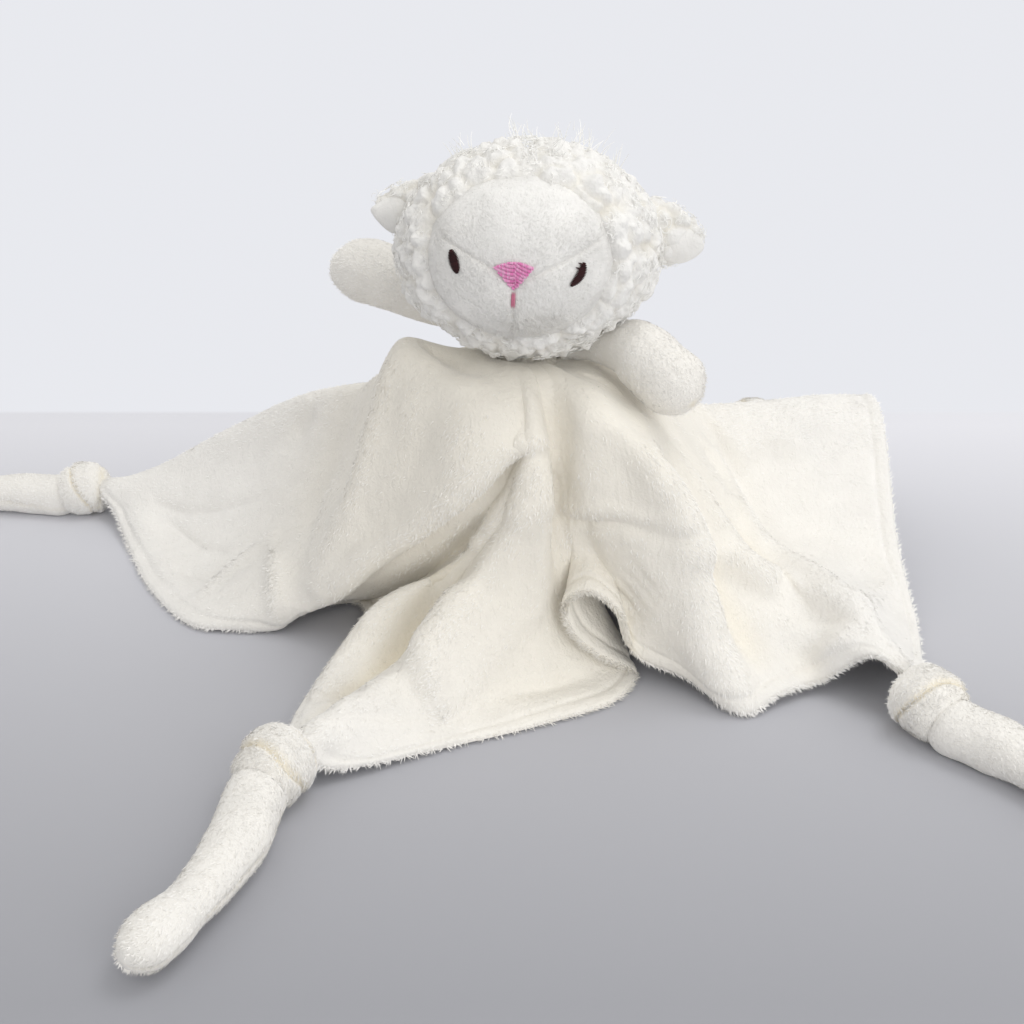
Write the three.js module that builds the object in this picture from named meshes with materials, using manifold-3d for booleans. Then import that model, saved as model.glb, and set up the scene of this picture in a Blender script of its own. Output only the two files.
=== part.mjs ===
// A comfort blanket with a stuffed lamb's head: a square double-layer velour cloth that hangs in
// folds from the neck, four knotted corners with tails, two stuffed arms, two ears and a fleece hood.
// Millimetres, +Z up. The front, where the face looks, is -Y. Everything is placed from the neck,
// which stands over x = 0, y = 0, and the finished group is then moved so that the origin lies
// under the middle of the whole object.
import * as THREE from "three";
import { mergeVertices } from "three/addons/utils/BufferGeometryUtils.js";
import Module from "manifold-3d";

const wasm = await Module();
wasm.setup();

// Driving dimensions: the cloth
const clothSpread = 100; // what the plan shares of the drape are multiplied by
const clothHeight = 100; // height of the middle of the cloth at the neck
const panelThickness = 1.4; // one layer of velour with its pile pressed
const fitGap = 0.3; // between pieces that touch
const restDepth = 0.5; // how deep the soft cloth is cut flat where it lies on the table
const neckHoleRadius = 12;

// Driving dimensions: knots and tails
const knotRadius = 11.5;
const knotRingRadius = 7;
const knotRingTube = 4.6;
const knotRingTiltDegrees = 62;
const knotRingLeanDegrees = 14;
const knotCoreRadius = 9;
const tailBallRadius = 7;
const tailRadius = 9;
const tailTipRadius = 8;
const tailLength = 68;
const tailBend = 5; // how far a tail's middle lies off its straight line

// Driving dimensions: the head
const hoodRadii = [45, 38, 36];
const hoodCenter = [1, -4, 43]; // height is above the cloth
const faceRadii = [36, 31, 30];
const faceCenter = [-2, -16, 45];
const coverThickness = 2.5;
const faceHalfWidth = 31.2;
const faceHalfHeight = 26.5;
const faceSeamCenter = [-1.8, 45.5]; // across, and above the cloth
const noseX = -4;
const noseWidth = 11.5;
const noseHeight = 8.6;
const noseSideShare = 0.8; // height of the widest place, of noseHeight
const noseCrownShare = 1.2; // height of the top arc's control point
const sideSeamSlope = 0.5; // how steeply the side seams climb from the nose
const noseTipHeight = 39.4; // above the cloth
const threadThickness = 1;
const eyeRadii = [1.8, 3.4];
const eyeLeft = [-22.9, 8.4]; // across, and above the tip of the nose
const eyeRight = [16.6, 4.5];
const eyeSlantDegrees = 16;
const mouthWidth = 1.6;
const mouthLength = 5.6;
const neckBallRadius = 5;
const neckPivotHeight = 7; // above the cloth
const neckGatherHeight = 5;
const neckGatherShoulder = 9.4; // radius at the top of the gathers
const headSwingDegrees = 12;

// Driving dimensions: ears
const earRadii = [14.5, 4.6, 10.5];
const earLiningRadii = [10, 1.8, 6.6];
const earBeadRadius = 2.2;
const earBeadLength = 13;
const earStandOff = 1.2; // the flap starts this far off the hood
const earLiningOut = 6; // from the bead to the middle of the lining
const earLiningLift = 3.7; // how far the lining's middle lies in front of the ear's
const leftEar = { base: [-37, 1, 55.5], rise: 10 };
const rightEar = { base: [44, 1, 47.5], rise: 4 };

// Driving dimensions: arms
const leftArmRadius = 12;
const rightArmRadius = 11;
const armBallRadius = 3;
const armRootDistance = 14; // from the neck's axis
const armRootHeight = 4; // above the cloth
const armPanelThickness = 1.6;
const armHeadClearance = 1.8; // between an arm and the head as it turns and nods
const seamReachShare = 1.25; // half width of the cut between an arm's panels, of its radius
const leftArmDegrees = 142; // where the arms leave the neck, anticlockwise from +X
const rightArmDegrees = 8;
const ballClearance = 0.5;

// The middle of the whole object, as shares of clothSpread from the neck, turned round
const originShare = [0.51, 0];

// The drape. Each row is one line of the cloth from the neck to the hem, in order round the neck
// from the front left corner, anticlockwise seen from above. A point is [x, y, z] in shares of
// clothSpread, clothSpread and clothHeight. Ridges, valleys and the curled hem are rows of their own.
const drapeShares = [
  [
    [-0.04, -0.11, 1.03], [-0.01, -0.26, 1.03], [0.02, -0.4, 0.96], [0, -0.5, 0.68],
    [-0.14, -0.54, 0.45], [-0.36, -0.72, 0.25], [-0.73, -1.13, 0.14],
  ],
  [
    [-0.03, -0.12, 1.03], [0, -0.26, 1.03], [0.04, -0.39, 0.94], [0.06, -0.46, 0.66],
    [-0.02, -0.53, 0.38], [-0.24, -0.8, 0.13], [-0.64, -1.13, 0.06],
  ],
  [
    [-0.02, -0.12, 1.03], [0.02, -0.26, 1.03], [0.05, -0.38, 0.91], [0.08, -0.44, 0.62],
    [0.05, -0.5, 0.34], [-0.07, -0.68, 0.09], [-0.24, -0.95, 0.01],
  ],
  [
    [-0.01, -0.12, 1.03], [0.03, -0.26, 1.02], [0.06, -0.37, 0.89], [0.093, -0.425, 0.6],
    [0.08, -0.42, 0.28], [0.08, -0.6, 0.06], [0.05, -0.83, 0.01],
  ],
  [
    [0, -0.12, 1.03], [0.04, -0.26, 1.02], [0.07, -0.365, 0.88], [0.107, -0.42, 0.59],
    [0.13, -0.36, 0.22], [0.2, -0.5, 0.03], [0.3, -0.68, 0.01],
  ],
  [
    [0.01, -0.12, 1.03], [0.05, -0.26, 1.02], [0.08, -0.362, 0.87], [0.12, -0.415, 0.585],
    [0.175, -0.33, 0.2], [0.28, -0.43, 0.03], [0.385, -0.56, 0.015],
  ],
  [
    [0.015, -0.12, 1.03], [0.055, -0.26, 1.02], [0.088, -0.36, 0.87], [0.133, -0.415, 0.59],
    [0.165, -0.365, 0.31], [0.185, -0.43, 0.2], [0.2, -0.515, 0.13],
  ],
  [
    [0.02, -0.12, 1.03], [0.06, -0.26, 1.02], [0.096, -0.36, 0.87], [0.146, -0.42, 0.6],
    [0.165, -0.39, 0.37], [0.15, -0.43, 0.3], [0.137, -0.475, 0.25],
  ],
  [
    [0.025, -0.12, 1.03], [0.07, -0.26, 1.02], [0.104, -0.362, 0.87], [0.16, -0.425, 0.61],
    [0.2, -0.405, 0.43], [0.21, -0.43, 0.38], [0.225, -0.49, 0.34],
  ],
  [
    [0.03, -0.12, 1.03], [0.08, -0.26, 1.02], [0.114, -0.366, 0.88], [0.175, -0.435, 0.62],
    [0.235, -0.4, 0.41], [0.28, -0.44, 0.34], [0.33, -0.525, 0.28],
  ],
  [
    [0.033, -0.12, 1.03], [0.085, -0.26, 1.02], [0.126, -0.373, 0.89], [0.192, -0.45, 0.64],
    [0.265, -0.41, 0.38], [0.33, -0.46, 0.23], [0.375, -0.54, 0.14],
  ],
  [
    [0.037, -0.12, 1.03], [0.092, -0.26, 1.02], [0.15, -0.39, 0.91], [0.215, -0.48, 0.68],
    [0.3, -0.5, 0.46], [0.385, -0.54, 0.25], [0.435, -0.56, 0.04],
  ],
  [
    [0.045, -0.115, 1.03], [0.11, -0.25, 1.03], [0.2, -0.42, 0.95], [0.32, -0.52, 0.72],
    [0.42, -0.57, 0.48], [0.5, -0.6, 0.24], [0.57, -0.62, 0.06],
  ],
  [
    [0.06, -0.11, 1.03], [0.14, -0.23, 1.03], [0.3, -0.43, 0.94], [0.46, -0.51, 0.76],
    [0.58, -0.55, 0.52], [0.65, -0.65, 0.24], [0.74, -0.77, 0.01],
  ],
  [
    [0.07, -0.1, 1.02], [0.17, -0.21, 1.01], [0.36, -0.33, 0.9], [0.52, -0.36, 0.66],
    [0.65, -0.43, 0.4], [0.77, -0.55, 0.16], [0.88, -0.69, 0.04],
  ],
  [
    [0.085, -0.09, 1.01], [0.19, -0.18, 1], [0.4, -0.24, 0.88], [0.6, -0.24, 0.66],
    [0.76, -0.32, 0.44], [0.92, -0.47, 0.24], [1.04, -0.62, 0.05],
  ],
  [
    [0.09, -0.08, 1], [0.21, -0.16, 1], [0.42, -0.16, 0.88], [0.64, -0.1, 0.6],
    [0.84, -0.2, 0.33], [1.02, -0.42, 0.24], [1.18, -0.69, 0.19],
  ],
  [
    [0.1, -0.06, 1], [0.23, -0.12, 0.99], [0.44, -0.08, 0.88], [0.68, 0.02, 0.58],
    [0.92, -0.1, 0.34], [1.12, -0.42, 0.3], [1.29, -0.79, 0.16],
  ],
  [
    [0.11, -0.04, 1], [0.24, -0.09, 0.99], [0.45, 0, 0.88], [0.71, 0.14, 0.54],
    [0.98, 0.04, 0.25], [1.22, -0.3, 0.2], [1.35, -0.72, 0.08],
  ],
  [
    [0.115, -0.02, 1], [0.25, -0.05, 0.99], [0.46, 0.08, 0.87], [0.74, 0.24, 0.5],
    [1.04, 0.2, 0.2], [1.3, 0, 0.12], [1.5, -0.22, 0.02],
  ],
  [
    [0.12, 0, 1], [0.26, -0.01, 0.99], [0.46, 0.16, 0.88], [0.75, 0.35, 0.52],
    [1.04, 0.36, 0.26], [1.3, 0.26, 0.17], [1.53, 0.2, 0.16],
  ],
  [
    [0.12, 0.03, 1.01], [0.26, 0.04, 0.99], [0.44, 0.22, 0.9], [0.7, 0.48, 0.66],
    [0.96, 0.64, 0.61], [1.25, 0.72, 0.61], [1.53, 0.76, 0.6],
  ],
  [
    [0.115, 0.05, 1.02], [0.25, 0.09, 1], [0.4, 0.29, 0.88], [0.64, 0.6, 0.57],
    [0.92, 0.86, 0.42], [1.2, 1.02, 0.33], [1.47, 1.12, 0.28],
  ],
  [
    [0.11, 0.07, 1.03], [0.23, 0.13, 1.01], [0.36, 0.33, 0.86], [0.58, 0.68, 0.5],
    [0.84, 1.08, 0.26], [1.1, 1.42, 0.14], [1.32, 1.66, 0.07],
  ],
  [
    [0.1, 0.09, 1.03], [0.2, 0.17, 1.02], [0.32, 0.36, 0.87], [0.52, 0.74, 0.51],
    [0.74, 1.12, 0.32], [0.97, 1.44, 0.24], [1.21, 1.74, 0.14],
  ],
  [
    [0.08, 0.1, 1.03], [0.17, 0.2, 1.02], [0.28, 0.39, 0.86], [0.46, 0.76, 0.46],
    [0.66, 1.12, 0.24], [0.87, 1.45, 0.12], [1.08, 1.7, 0.07],
  ],
  [
    [0.06, 0.11, 1.03], [0.13, 0.23, 1.02], [0.22, 0.41, 0.85], [0.35, 0.76, 0.4],
    [0.46, 1.08, 0.16], [0.55, 1.36, 0.05], [0.64, 1.62, 0.01],
  ],
  [
    [0.04, 0.12, 1.03], [0.08, 0.25, 1.02], [0.14, 0.43, 0.89], [0.21, 0.78, 0.55],
    [0.25, 1.08, 0.33], [0.27, 1.34, 0.13], [0.26, 1.56, 0.01],
  ],
  [
    [0.01, 0.12, 1.03], [0.02, 0.26, 1.02], [0.02, 0.43, 0.86], [0, 0.74, 0.43],
    [-0.06, 1.02, 0.18], [-0.12, 1.27, 0.05], [-0.18, 1.49, 0.01],
  ],
  [
    [-0.02, 0.12, 1.03], [-0.06, 0.26, 1.01], [-0.12, 0.43, 0.9], [-0.24, 0.73, 0.61],
    [-0.38, 1, 0.39], [-0.5, 1.26, 0.18], [-0.6, 1.5, 0.01],
  ],
  [
    [-0.05, 0.11, 1.02], [-0.12, 0.23, 1], [-0.24, 0.38, 0.88], [-0.44, 0.64, 0.48],
    [-0.66, 0.9, 0.22], [-0.88, 1.14, 0.07], [-1.07, 1.36, 0.01],
  ],
  [
    [-0.07, 0.1, 1.01], [-0.17, 0.2, 1], [-0.34, 0.33, 0.92], [-0.58, 0.55, 0.73],
    [-0.88, 0.8, 0.56], [-1.24, 0.99, 0.28], [-1.58, 1.16, 0.06],
  ],
  [
    [-0.09, 0.08, 1.01], [-0.2, 0.16, 1], [-0.38, 0.27, 0.95], [-0.66, 0.47, 0.75],
    [-1, 0.68, 0.6], [-1.42, 0.84, 0.36], [-1.82, 0.98, 0.1],
  ],
  [
    [-0.1, 0.06, 1.01], [-0.22, 0.12, 1.01], [-0.41, 0.2, 0.98], [-0.67, 0.36, 0.66],
    [-1.02, 0.55, 0.42], [-1.46, 0.72, 0.25], [-1.96, 0.89, 0.14],
  ],
  [
    [-0.11, 0.04, 1.02], [-0.24, 0.08, 1.02], [-0.43, 0.15, 1.01], [-0.66, 0.28, 0.6],
    [-1.02, 0.42, 0.31], [-1.44, 0.58, 0.13], [-1.85, 0.75, 0.07],
  ],
  [
    [-0.115, 0.03, 1.03], [-0.25, 0.06, 1.03], [-0.44, 0.12, 1.03], [-0.65, 0.2, 0.58],
    [-0.98, 0.3, 0.25], [-1.34, 0.4, 0.06], [-1.7, 0.46, 0.01],
  ],
  [
    [-0.12, 0.01, 1.03], [-0.26, 0.04, 1.04], [-0.445, 0.09, 1.05], [-0.64, 0.11, 0.62],
    [-0.9, 0.15, 0.27], [-1.2, 0.15, 0.06], [-1.52, 0.12, 0.01],
  ],
  [
    [-0.12, 0, 1.03], [-0.26, 0.02, 1.05], [-0.45, 0.05, 1.06], [-0.6, 0, 0.71],
    [-0.78, -0.02, 0.41], [-1.02, -0.08, 0.15], [-1.27, -0.18, 0.01],
  ],
  [
    [-0.12, -0.02, 1.03], [-0.26, -0.02, 1.05], [-0.43, 0, 1.07], [-0.53, -0.13, 0.8],
    [-0.65, -0.19, 0.52], [-0.84, -0.2, 0.22], [-1.08, -0.21, 0.01],
  ],
  [
    [-0.11, -0.04, 1.03], [-0.23, -0.1, 1.04], [-0.34, -0.2, 1.04], [-0.42, -0.33, 0.78],
    [-0.56, -0.3, 0.5], [-0.76, -0.26, 0.21], [-1, -0.21, 0.01],
  ],
  [
    [-0.1, -0.07, 1.03], [-0.17, -0.19, 1.04], [-0.22, -0.33, 1.01], [-0.34, -0.42, 0.73],
    [-0.5, -0.37, 0.46], [-0.73, -0.28, 0.19], [-0.95, -0.2, 0.02],
  ],
  [
    [-0.08, -0.09, 1.03], [-0.1, -0.25, 1.03], [-0.08, -0.41, 0.95], [-0.22, -0.47, 0.69],
    [-0.45, -0.38, 0.43], [-0.71, -0.26, 0.2], [-0.91, -0.16, 0.06],
  ],
  [
    [-0.07, -0.1, 1.03], [-0.07, -0.26, 1.03], [-0.04, -0.41, 0.93], [-0.13, -0.4, 0.62],
    [-0.3, -0.26, 0.34], [-0.5, -0.1, 0.12], [-0.68, 0, 0.02],
  ],
  [
    [-0.06, -0.105, 1.03], [-0.05, -0.26, 1.03], [-0.02, -0.405, 0.92], [-0.09, -0.41, 0.62],
    [-0.26, -0.33, 0.36], [-0.44, -0.28, 0.2], [-0.6, -0.22, 0.05],
  ],
  [
    [-0.055, -0.107, 1.03], [-0.04, -0.26, 1.03], [-0.005, -0.405, 0.92], [-0.06, -0.45, 0.64],
    [-0.27, -0.42, 0.4], [-0.52, -0.49, 0.26], [-0.76, -0.8, 0.04],
  ],
  [
    [-0.05, -0.11, 1.03], [-0.025, -0.26, 1.03], [0.008, -0.4, 0.93], [-0.03, -0.44, 0.64],
    [-0.2, -0.42, 0.34], [-0.46, -0.62, 0.12], [-0.77, -1.03, 0.07],
  ],
];
// Where along a line the rings of the cloth lie, counted in its points.
const ringPlaces = [0, 1, 2, 3, 3.5, 4, 4.5, 5, 6];

// Corner knots as shares of clothSpread, with the direction in degrees in which the tail lies
const corners = {
  front_left: { knotShare: [-0.77, -1.19], tailDegrees: 252, bendSide: 1 },
  front_right: { knotShare: [1.33, -0.85], tailDegrees: 301, bendSide: 1 },
  back_right: { knotShare: [1.22, 1.79], tailDegrees: 177, bendSide: -1 },
  back_left: { knotShare: [-2.02, 0.9], tailDegrees: 186, bendSide: -1 },
};

// Helpers
function solidOf(geometry) {
  const bare = geometry.clone();
  bare.deleteAttribute("normal");
  bare.deleteAttribute("uv");
  const merged = mergeVertices(bare, fitGap / 1000);
  return new wasm.Manifold(
    new wasm.Mesh({
      numProp: 3,
      vertProperties: merged.attributes.position.array,
      triVerts: new Uint32Array(merged.index.array),
    }),
  );
}

function geometryOf(solid) {
  const mesh = solid.getMesh();
  const geometry = new THREE.BufferGeometry();
  geometry.setAttribute("position", new THREE.BufferAttribute(mesh.vertProperties, 3));
  geometry.setIndex(new THREE.BufferAttribute(mesh.triVerts, 1));
  geometry.computeVertexNormals();
  return geometry;
}

// A sphere stretched to three radii about a centre, with its poles on the Z axis.
function ellipsoid(radii, center, across = 20, down = 14) {
  const shape = new THREE.SphereGeometry(1, across, down);
  shape.scale(radii[0], radii[1], radii[2]);
  shape.translate(center[0], center[1], center[2]);
  return solidOf(shape);
}

function ball(radius, center) {
  return ellipsoid([radius, radius, radius], center, 12, 8);
}

function block(width, depth, height, center) {
  const shape = new THREE.BoxGeometry(width, depth, height);
  shape.translate(center[0], center[1], center[2]);
  return solidOf(shape);
}

// A closed solid from rings of points, each ring a list of Vector3, with a point at either end.
function skinOverRings(rings, startPoint, endPoint) {
  const sides = rings[0].length;
  const positions = [startPoint, ...rings.flat(), endPoint].flatMap((p) => [p.x, p.y, p.z]);
  const last = rings.length * sides + 1;
  const faces = [];
  for (let j = 0; j < sides; j++) {
    const next = (j + 1) % sides;
    faces.push(0, 1 + next, 1 + j);
    for (let i = 0; i + 1 < rings.length; i++) {
      const a = 1 + i * sides + j;
      const b = 1 + i * sides + next;
      faces.push(a, b, b + sides, a, b + sides, a + sides);
    }
    faces.push(last - sides + j, last - sides + next, last);
  }
  const geometry = new THREE.BufferGeometry();
  geometry.setAttribute("position", new THREE.Float32BufferAttribute(positions, 3));
  geometry.setIndex(faces);
  return solidOf(geometry);
}

// The way across a curve at a share of its length: sideways and level, and square to both.
function across(curve, share) {
  const along = curve.getTangentAt(share);
  const side = new THREE.Vector3(0, 0, 1).cross(along).normalize();
  return { along, side, up: along.clone().cross(side) };
}

// A stuffed limb along a curve: radiusAt gives its half thickness at a share of the way.
// Where it holds back from the ends, it closes at the first and last share instead.
function stuffedTube(curve, shares, radiusAt, sides, heldBack = 0) {
  const rings = shares.map((share) => {
    const { side, up } = across(curve, share);
    return Array.from({ length: sides }, (_, j) => {
      const turn = (2 * Math.PI * j) / sides;
      const offset = side.clone().multiplyScalar(Math.cos(turn)).addScaledVector(up, Math.sin(turn));
      return curve.getPointAt(share).addScaledVector(offset, radiusAt(share));
    });
  });
  const [first, last] = heldBack ? [shares[0], shares[shares.length - 1]] : [0, 1];
  return skinOverRings(rings, curve.getPointAt(first), curve.getPointAt(last));
}

// A thin strip between two lines. Each point of a line is a pair, low and high, and the second
// line lies to the left of the first. Both faces are split along the same diagonals.
function stripSolid(line, next) {
  const positions = [...line.flat(), ...next.flat()].flatMap((p) => [p.x, p.y, p.z]);
  const far = 2 * line.length;
  const faces = [];
  for (let k = 0; k + 1 < line.length; k++) {
    const [a, b] = [2 * k, far + 2 * k];
    faces.push(a + 1, a + 3, b + 3, a + 1, b + 3, b + 1);
    faces.push(a, b + 2, a + 2, a, b, b + 2);
    faces.push(a, a + 2, a + 3, a, a + 3, a + 1);
    faces.push(b, b + 3, b + 2, b, b + 1, b + 3);
  }
  faces.push(0, 1, far + 1, 0, far + 1, far);
  faces.push(far - 2, far + far - 1, far - 1, far - 2, far + far - 2, far + far - 1);
  const geometry = new THREE.BufferGeometry();
  geometry.setAttribute("position", new THREE.Float32BufferAttribute(positions, 3));
  geometry.setIndex(faces);
  return solidOf(geometry);
}

const seamShares = [0, 0.1, 0.25, 0.4, 0.55, 0.7, 0.85, 1];

// A thin level ribbon along a limb and past its ends, where its two panels are sewn together
function seamRibbon(curve, radius) {
  const stations = seamShares.map((share) => {
    const { along, side, up } = across(curve, share);
    const past = share === 0 ? -radius : share === 1 ? radius : 0;
    return { center: curve.getPointAt(share).addScaledVector(along, past), side, up };
  });
  const edge = (reach) => stations.map(({ center, side, up }) => [-1, 1].map((b) =>
    center.clone().addScaledVector(side, reach).addScaledVector(up, (b * fitGap) / 2)));
  return stripSolid(edge(-seamReachShare * radius), edge(seamReachShare * radius));
}

function middleHeight(solid) {
  const { min, max } = solid.boundingBox();
  return min[2] + max[2];
}

function turned(solid, axis, degrees, pivot) {
  const turn = new THREE.Matrix4().makeTranslation(...pivot);
  turn.multiply(new THREE.Matrix4().makeRotationAxis(axis, THREE.MathUtils.degToRad(degrees)));
  turn.multiply(new THREE.Matrix4().makeTranslation(-pivot[0], -pivot[1], -pivot[2]));
  return solid.transform(turn.elements);
}

function grown(radii, by) {
  return radii.map((r) => r + by);
}

function aboveCloth(point) {
  return [point[0], point[1], point[2] + clothHeight];
}

const velour = { color: 0xf3efe2, roughness: 0.95, metalness: 0 };
const fleece = { color: 0xece8dc, roughness: 1, metalness: 0 };
const faceVelour = { color: 0xe6e3dc, roughness: 0.9, metalness: 0 };
const stuffing = { color: 0xf4f4f0, roughness: 1, metalness: 0 };
const pinkThread = { color: 0xd9609a, roughness: 0.5, metalness: 0 };
const darkThread = { color: 0x3a1418, roughness: 0.5, metalness: 0 };

const lovey = new THREE.Group();

function addPiece(name, solid, finish) {
  const mesh = new THREE.Mesh(geometryOf(solid), new THREE.MeshStandardMaterial(finish));
  mesh.name = name;
  lovey.add(mesh);
}

// The cloth's middle surface, a grid of points: one column for each line, one ring for each place
const restHeight = fitGap / 2 + panelThickness - restDepth;

function drapeGrid() {
  const lines = drapeShares.map((line) => {
    const points = line.map((p) => new THREE.Vector3(
      p[0] * clothSpread,
      p[1] * clothSpread,
      Math.max(p[2] * clothHeight, restHeight),
    ));
    const curve = new THREE.CatmullRomCurve3(points, false, "centripetal");
    return ringPlaces.map((place) => {
      const point = curve.getPoint(place / (points.length - 1));
      point.z = Math.max(point.z, restHeight);
      return point;
    });
  });
  return lines;
}

function drapeNormals(grid) {
  const columns = grid.length;
  const rings = grid[0].length;
  return grid.map((line, i) => line.map((_, k) => {
    const before = grid[(i + columns - 1) % columns][k];
    const after = grid[(i + 1) % columns][k];
    const inner = line[Math.max(k - 1, 0)];
    const outer = line[Math.min(k + 1, rings - 1)];
    const here = line[k];
    const normal = new THREE.Vector3();
    const spokes = [inner, after, outer, before];
    spokes.forEach((spoke, j) => {
      const a = spoke.clone().sub(here);
      const b = spokes[(j + 1) % spokes.length].clone().sub(here);
      const facet = b.cross(a);
      if (facet.lengthSq() > 0) normal.add(facet.normalize());
    });
    return normal.normalize();
  }));
}

// One layer of the cloth between two distances from its middle surface. Each strip between two
// lines is a solid of its own, so that folds which press on each other join cleanly.
function clothLayer(grid, normals, low, high) {
  const lines = grid.map((line, i) => line.map((p, k) => [low, high].map((offset) =>
    p.clone().addScaledVector(normals[i][k], offset))));
  return lines.map((line, i) => stripSolid(line, lines[(i + 1) % lines.length]))
    .reduce((all, strip) => all.add(strip));
}

const tableSize = 8 * clothSpread;
const table = block(tableSize, tableSize, clothHeight, [0, 0, -clothHeight / 2]);

// Knots and tails
const tailSides = 10;
const tailFlatShare = Math.cos(Math.PI / tailSides); // from a tail's middle to its flat side

// A knot, or with a positive growth the room that its neighbours leave it
function knotSolid(center, direction, growth = 0) {
  const coreRadii = grown([knotCoreRadius, knotCoreRadius, knotRadius], growth);
  const core = ellipsoid(coreRadii, [0, 0, 0], 10, 6);
  const ring = new THREE.TorusGeometry(knotRingRadius, knotRingTube + growth, 6, 11);
  const wrap = turned(solidOf(ring), new THREE.Vector3(1, 0, 0), knotRingTiltDegrees, [0, 0, 0]);
  const lay = new THREE.Vector3(0, 1, 0);
  const leaning = turned(wrap, lay, knotRingLeanDegrees, [0, 0, 0]);
  const tied = turned(core, lay, 90, [0, 0, 0]).add(leaning);
  const heading = THREE.MathUtils.radToDeg(Math.atan2(direction.y, direction.x));
  const placed = turned(tied, new THREE.Vector3(0, 0, 1), heading, [0, 0, 0]);
  return placed.translate(center.x, center.y, center.z);
}

function tailRadiusAt(distance) {
  const cone = Math.min(distance, tailRadius);
  const tip = tailLength - distance;
  const taper = tailRadius + (tailTipRadius - tailRadius) * (distance / tailLength);
  const swell = Math.min(cone, taper);
  return tip < tailTipRadius
    ? Math.min(swell, Math.sqrt(Math.max(tailTipRadius ** 2 - (tailTipRadius - tip) ** 2, 0)))
    : swell;
}

// The lowest side of a tail lies on the table, cut flat by the rest depth.
function tailHeightAt(distance) {
  const taper = tailRadius + (tailTipRadius - tailRadius) * (distance / tailLength);
  return taper * tailFlatShare - restDepth;
}

const origin = new THREE.Vector3();
const knotBottom = knotSolid(origin, new THREE.Vector3(1, 0, 0)).boundingBox().min[2];
const knots = {};
for (const [corner, { knotShare, tailDegrees, bendSide }] of Object.entries(corners)) {
  const heading = THREE.MathUtils.degToRad(tailDegrees);
  const direction = new THREE.Vector3(Math.cos(heading), Math.sin(heading), 0);
  const center = new THREE.Vector3(knotShare[0], knotShare[1], 0).multiplyScalar(clothSpread);
  center.z = -knotBottom - restDepth;
  const pivot = center.clone().addScaledVector(direction, knotRadius);
  pivot.z = tailHeightAt(0);
  const sideways = new THREE.Vector3(-direction.y, direction.x, 0).multiplyScalar(bendSide);
  const tailPoints = [0, 1, 2, 3].map((third) => {
    const point = pivot.clone().addScaledVector(direction, (third * tailLength) / 3);
    point.z = tailHeightAt((third * tailLength) / 3);
    return third % 3 ? point.addScaledVector(sideways, tailBend) : point;
  });
  const curve = new THREE.CatmullRomCurve3(tailPoints, false, "centripetal");
  const tailShares = [0.055, 0.09, 0.13, 0.25, 0.45, 0.65, 0.85, 0.93, 0.98];
  const roll = stuffedTube(curve, tailShares, (share) => tailRadiusAt(share * tailLength), tailSides);
  const root = ball(tailBallRadius, pivot.toArray());
  const tail = roll.add(root).subtract(table);
  const face = block(2 * tailRadius, 4 * tailRadius, 4 * tailRadius, [tailRadius - fitGap, 0, 0]);
  const facePlaced = turned(face, new THREE.Vector3(0, 0, 1), tailDegrees, [0, 0, 0])
    .translate(pivot.x, pivot.y, pivot.z);
  const knot = knotSolid(center, direction)
    .subtract(ball(tailBallRadius + ballClearance, pivot.toArray()))
    .subtract(facePlaced)
    .subtract(table);
  knots[corner] = { room: knotSolid(center, direction, fitGap) };
  addPiece(corner + "_knot", knot, velour);
  addPiece(corner + "_tail", tail, velour);
}

// Neck
const neckPivot = [0, -3, clothHeight + neckPivotHeight];
const armRoots = {
  left: { degrees: leftArmDegrees },
  right: { degrees: rightArmDegrees },
};
for (const root of Object.values(armRoots)) {
  const turn = THREE.MathUtils.degToRad(root.degrees);
  root.point = [
    armRootDistance * Math.cos(turn),
    armRootDistance * Math.sin(turn),
    clothHeight + armRootHeight,
  ];
}
const neckRadius = neckHoleRadius - fitGap;
const gatherProfile = [
  [0, -neckGatherHeight],
  [neckRadius, -neckGatherHeight],
  [neckRadius, neckGatherHeight / 2],
  [neckGatherShoulder, neckGatherHeight],
  [0, neckGatherHeight],
].map(([radius, height]) => new THREE.Vector2(radius, height));
const gatherShape = new THREE.LatheGeometry(gatherProfile, 16);
gatherShape.rotateX(Math.PI / 2);
gatherShape.translate(0, 0, clothHeight);
let neckGather = solidOf(gatherShape).subtract(ball(neckBallRadius + ballClearance, neckPivot));
for (const root of Object.values(armRoots))
  neckGather = neckGather.subtract(ball(armBallRadius + ballClearance, root.point));
addPiece("neck_gather", neckGather, velour);
addPiece("neck_stuffing", ball(neckBallRadius, neckPivot), stuffing);

// Blanket layers
const grid = drapeGrid();
const normals = drapeNormals(grid);
const neckHole = new THREE.CylinderGeometry(neckHoleRadius, neckHoleRadius, 4 * neckGatherHeight, 16);
neckHole.rotateX(Math.PI / 2);
neckHole.translate(0, 0, clothHeight);
let clothCutter = table.add(solidOf(neckHole));
for (const { room } of Object.values(knots)) clothCutter = clothCutter.add(room);
for (const root of Object.values(armRoots))
  clothCutter = clothCutter.add(ball(armBallRadius + ballClearance, root.point));
const outerFace = fitGap / 2 + panelThickness;
const underLayer = clothLayer(grid, normals, -outerFace, -fitGap / 2);
const underRoom = clothLayer(grid, normals, -outerFace - fitGap, fitGap / 3).add(underLayer);
const layers = {
  blanket_top_panel: clothLayer(grid, normals, fitGap / 2, outerFace).subtract(underRoom),
  blanket_under_panel: underLayer,
};
for (const [name, layer] of Object.entries(layers)) {
  const parts = layer.subtract(clothCutter).decompose();
  parts.sort((a, b) => b.volume() - a.volume());
  addPiece(name, parts[0], velour);
}

// Head: hood and face are shells over one stuffing, cut along their seams
const hoodMiddle = aboveCloth(hoodCenter);
const faceMiddle = aboveCloth(faceCenter);

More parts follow.
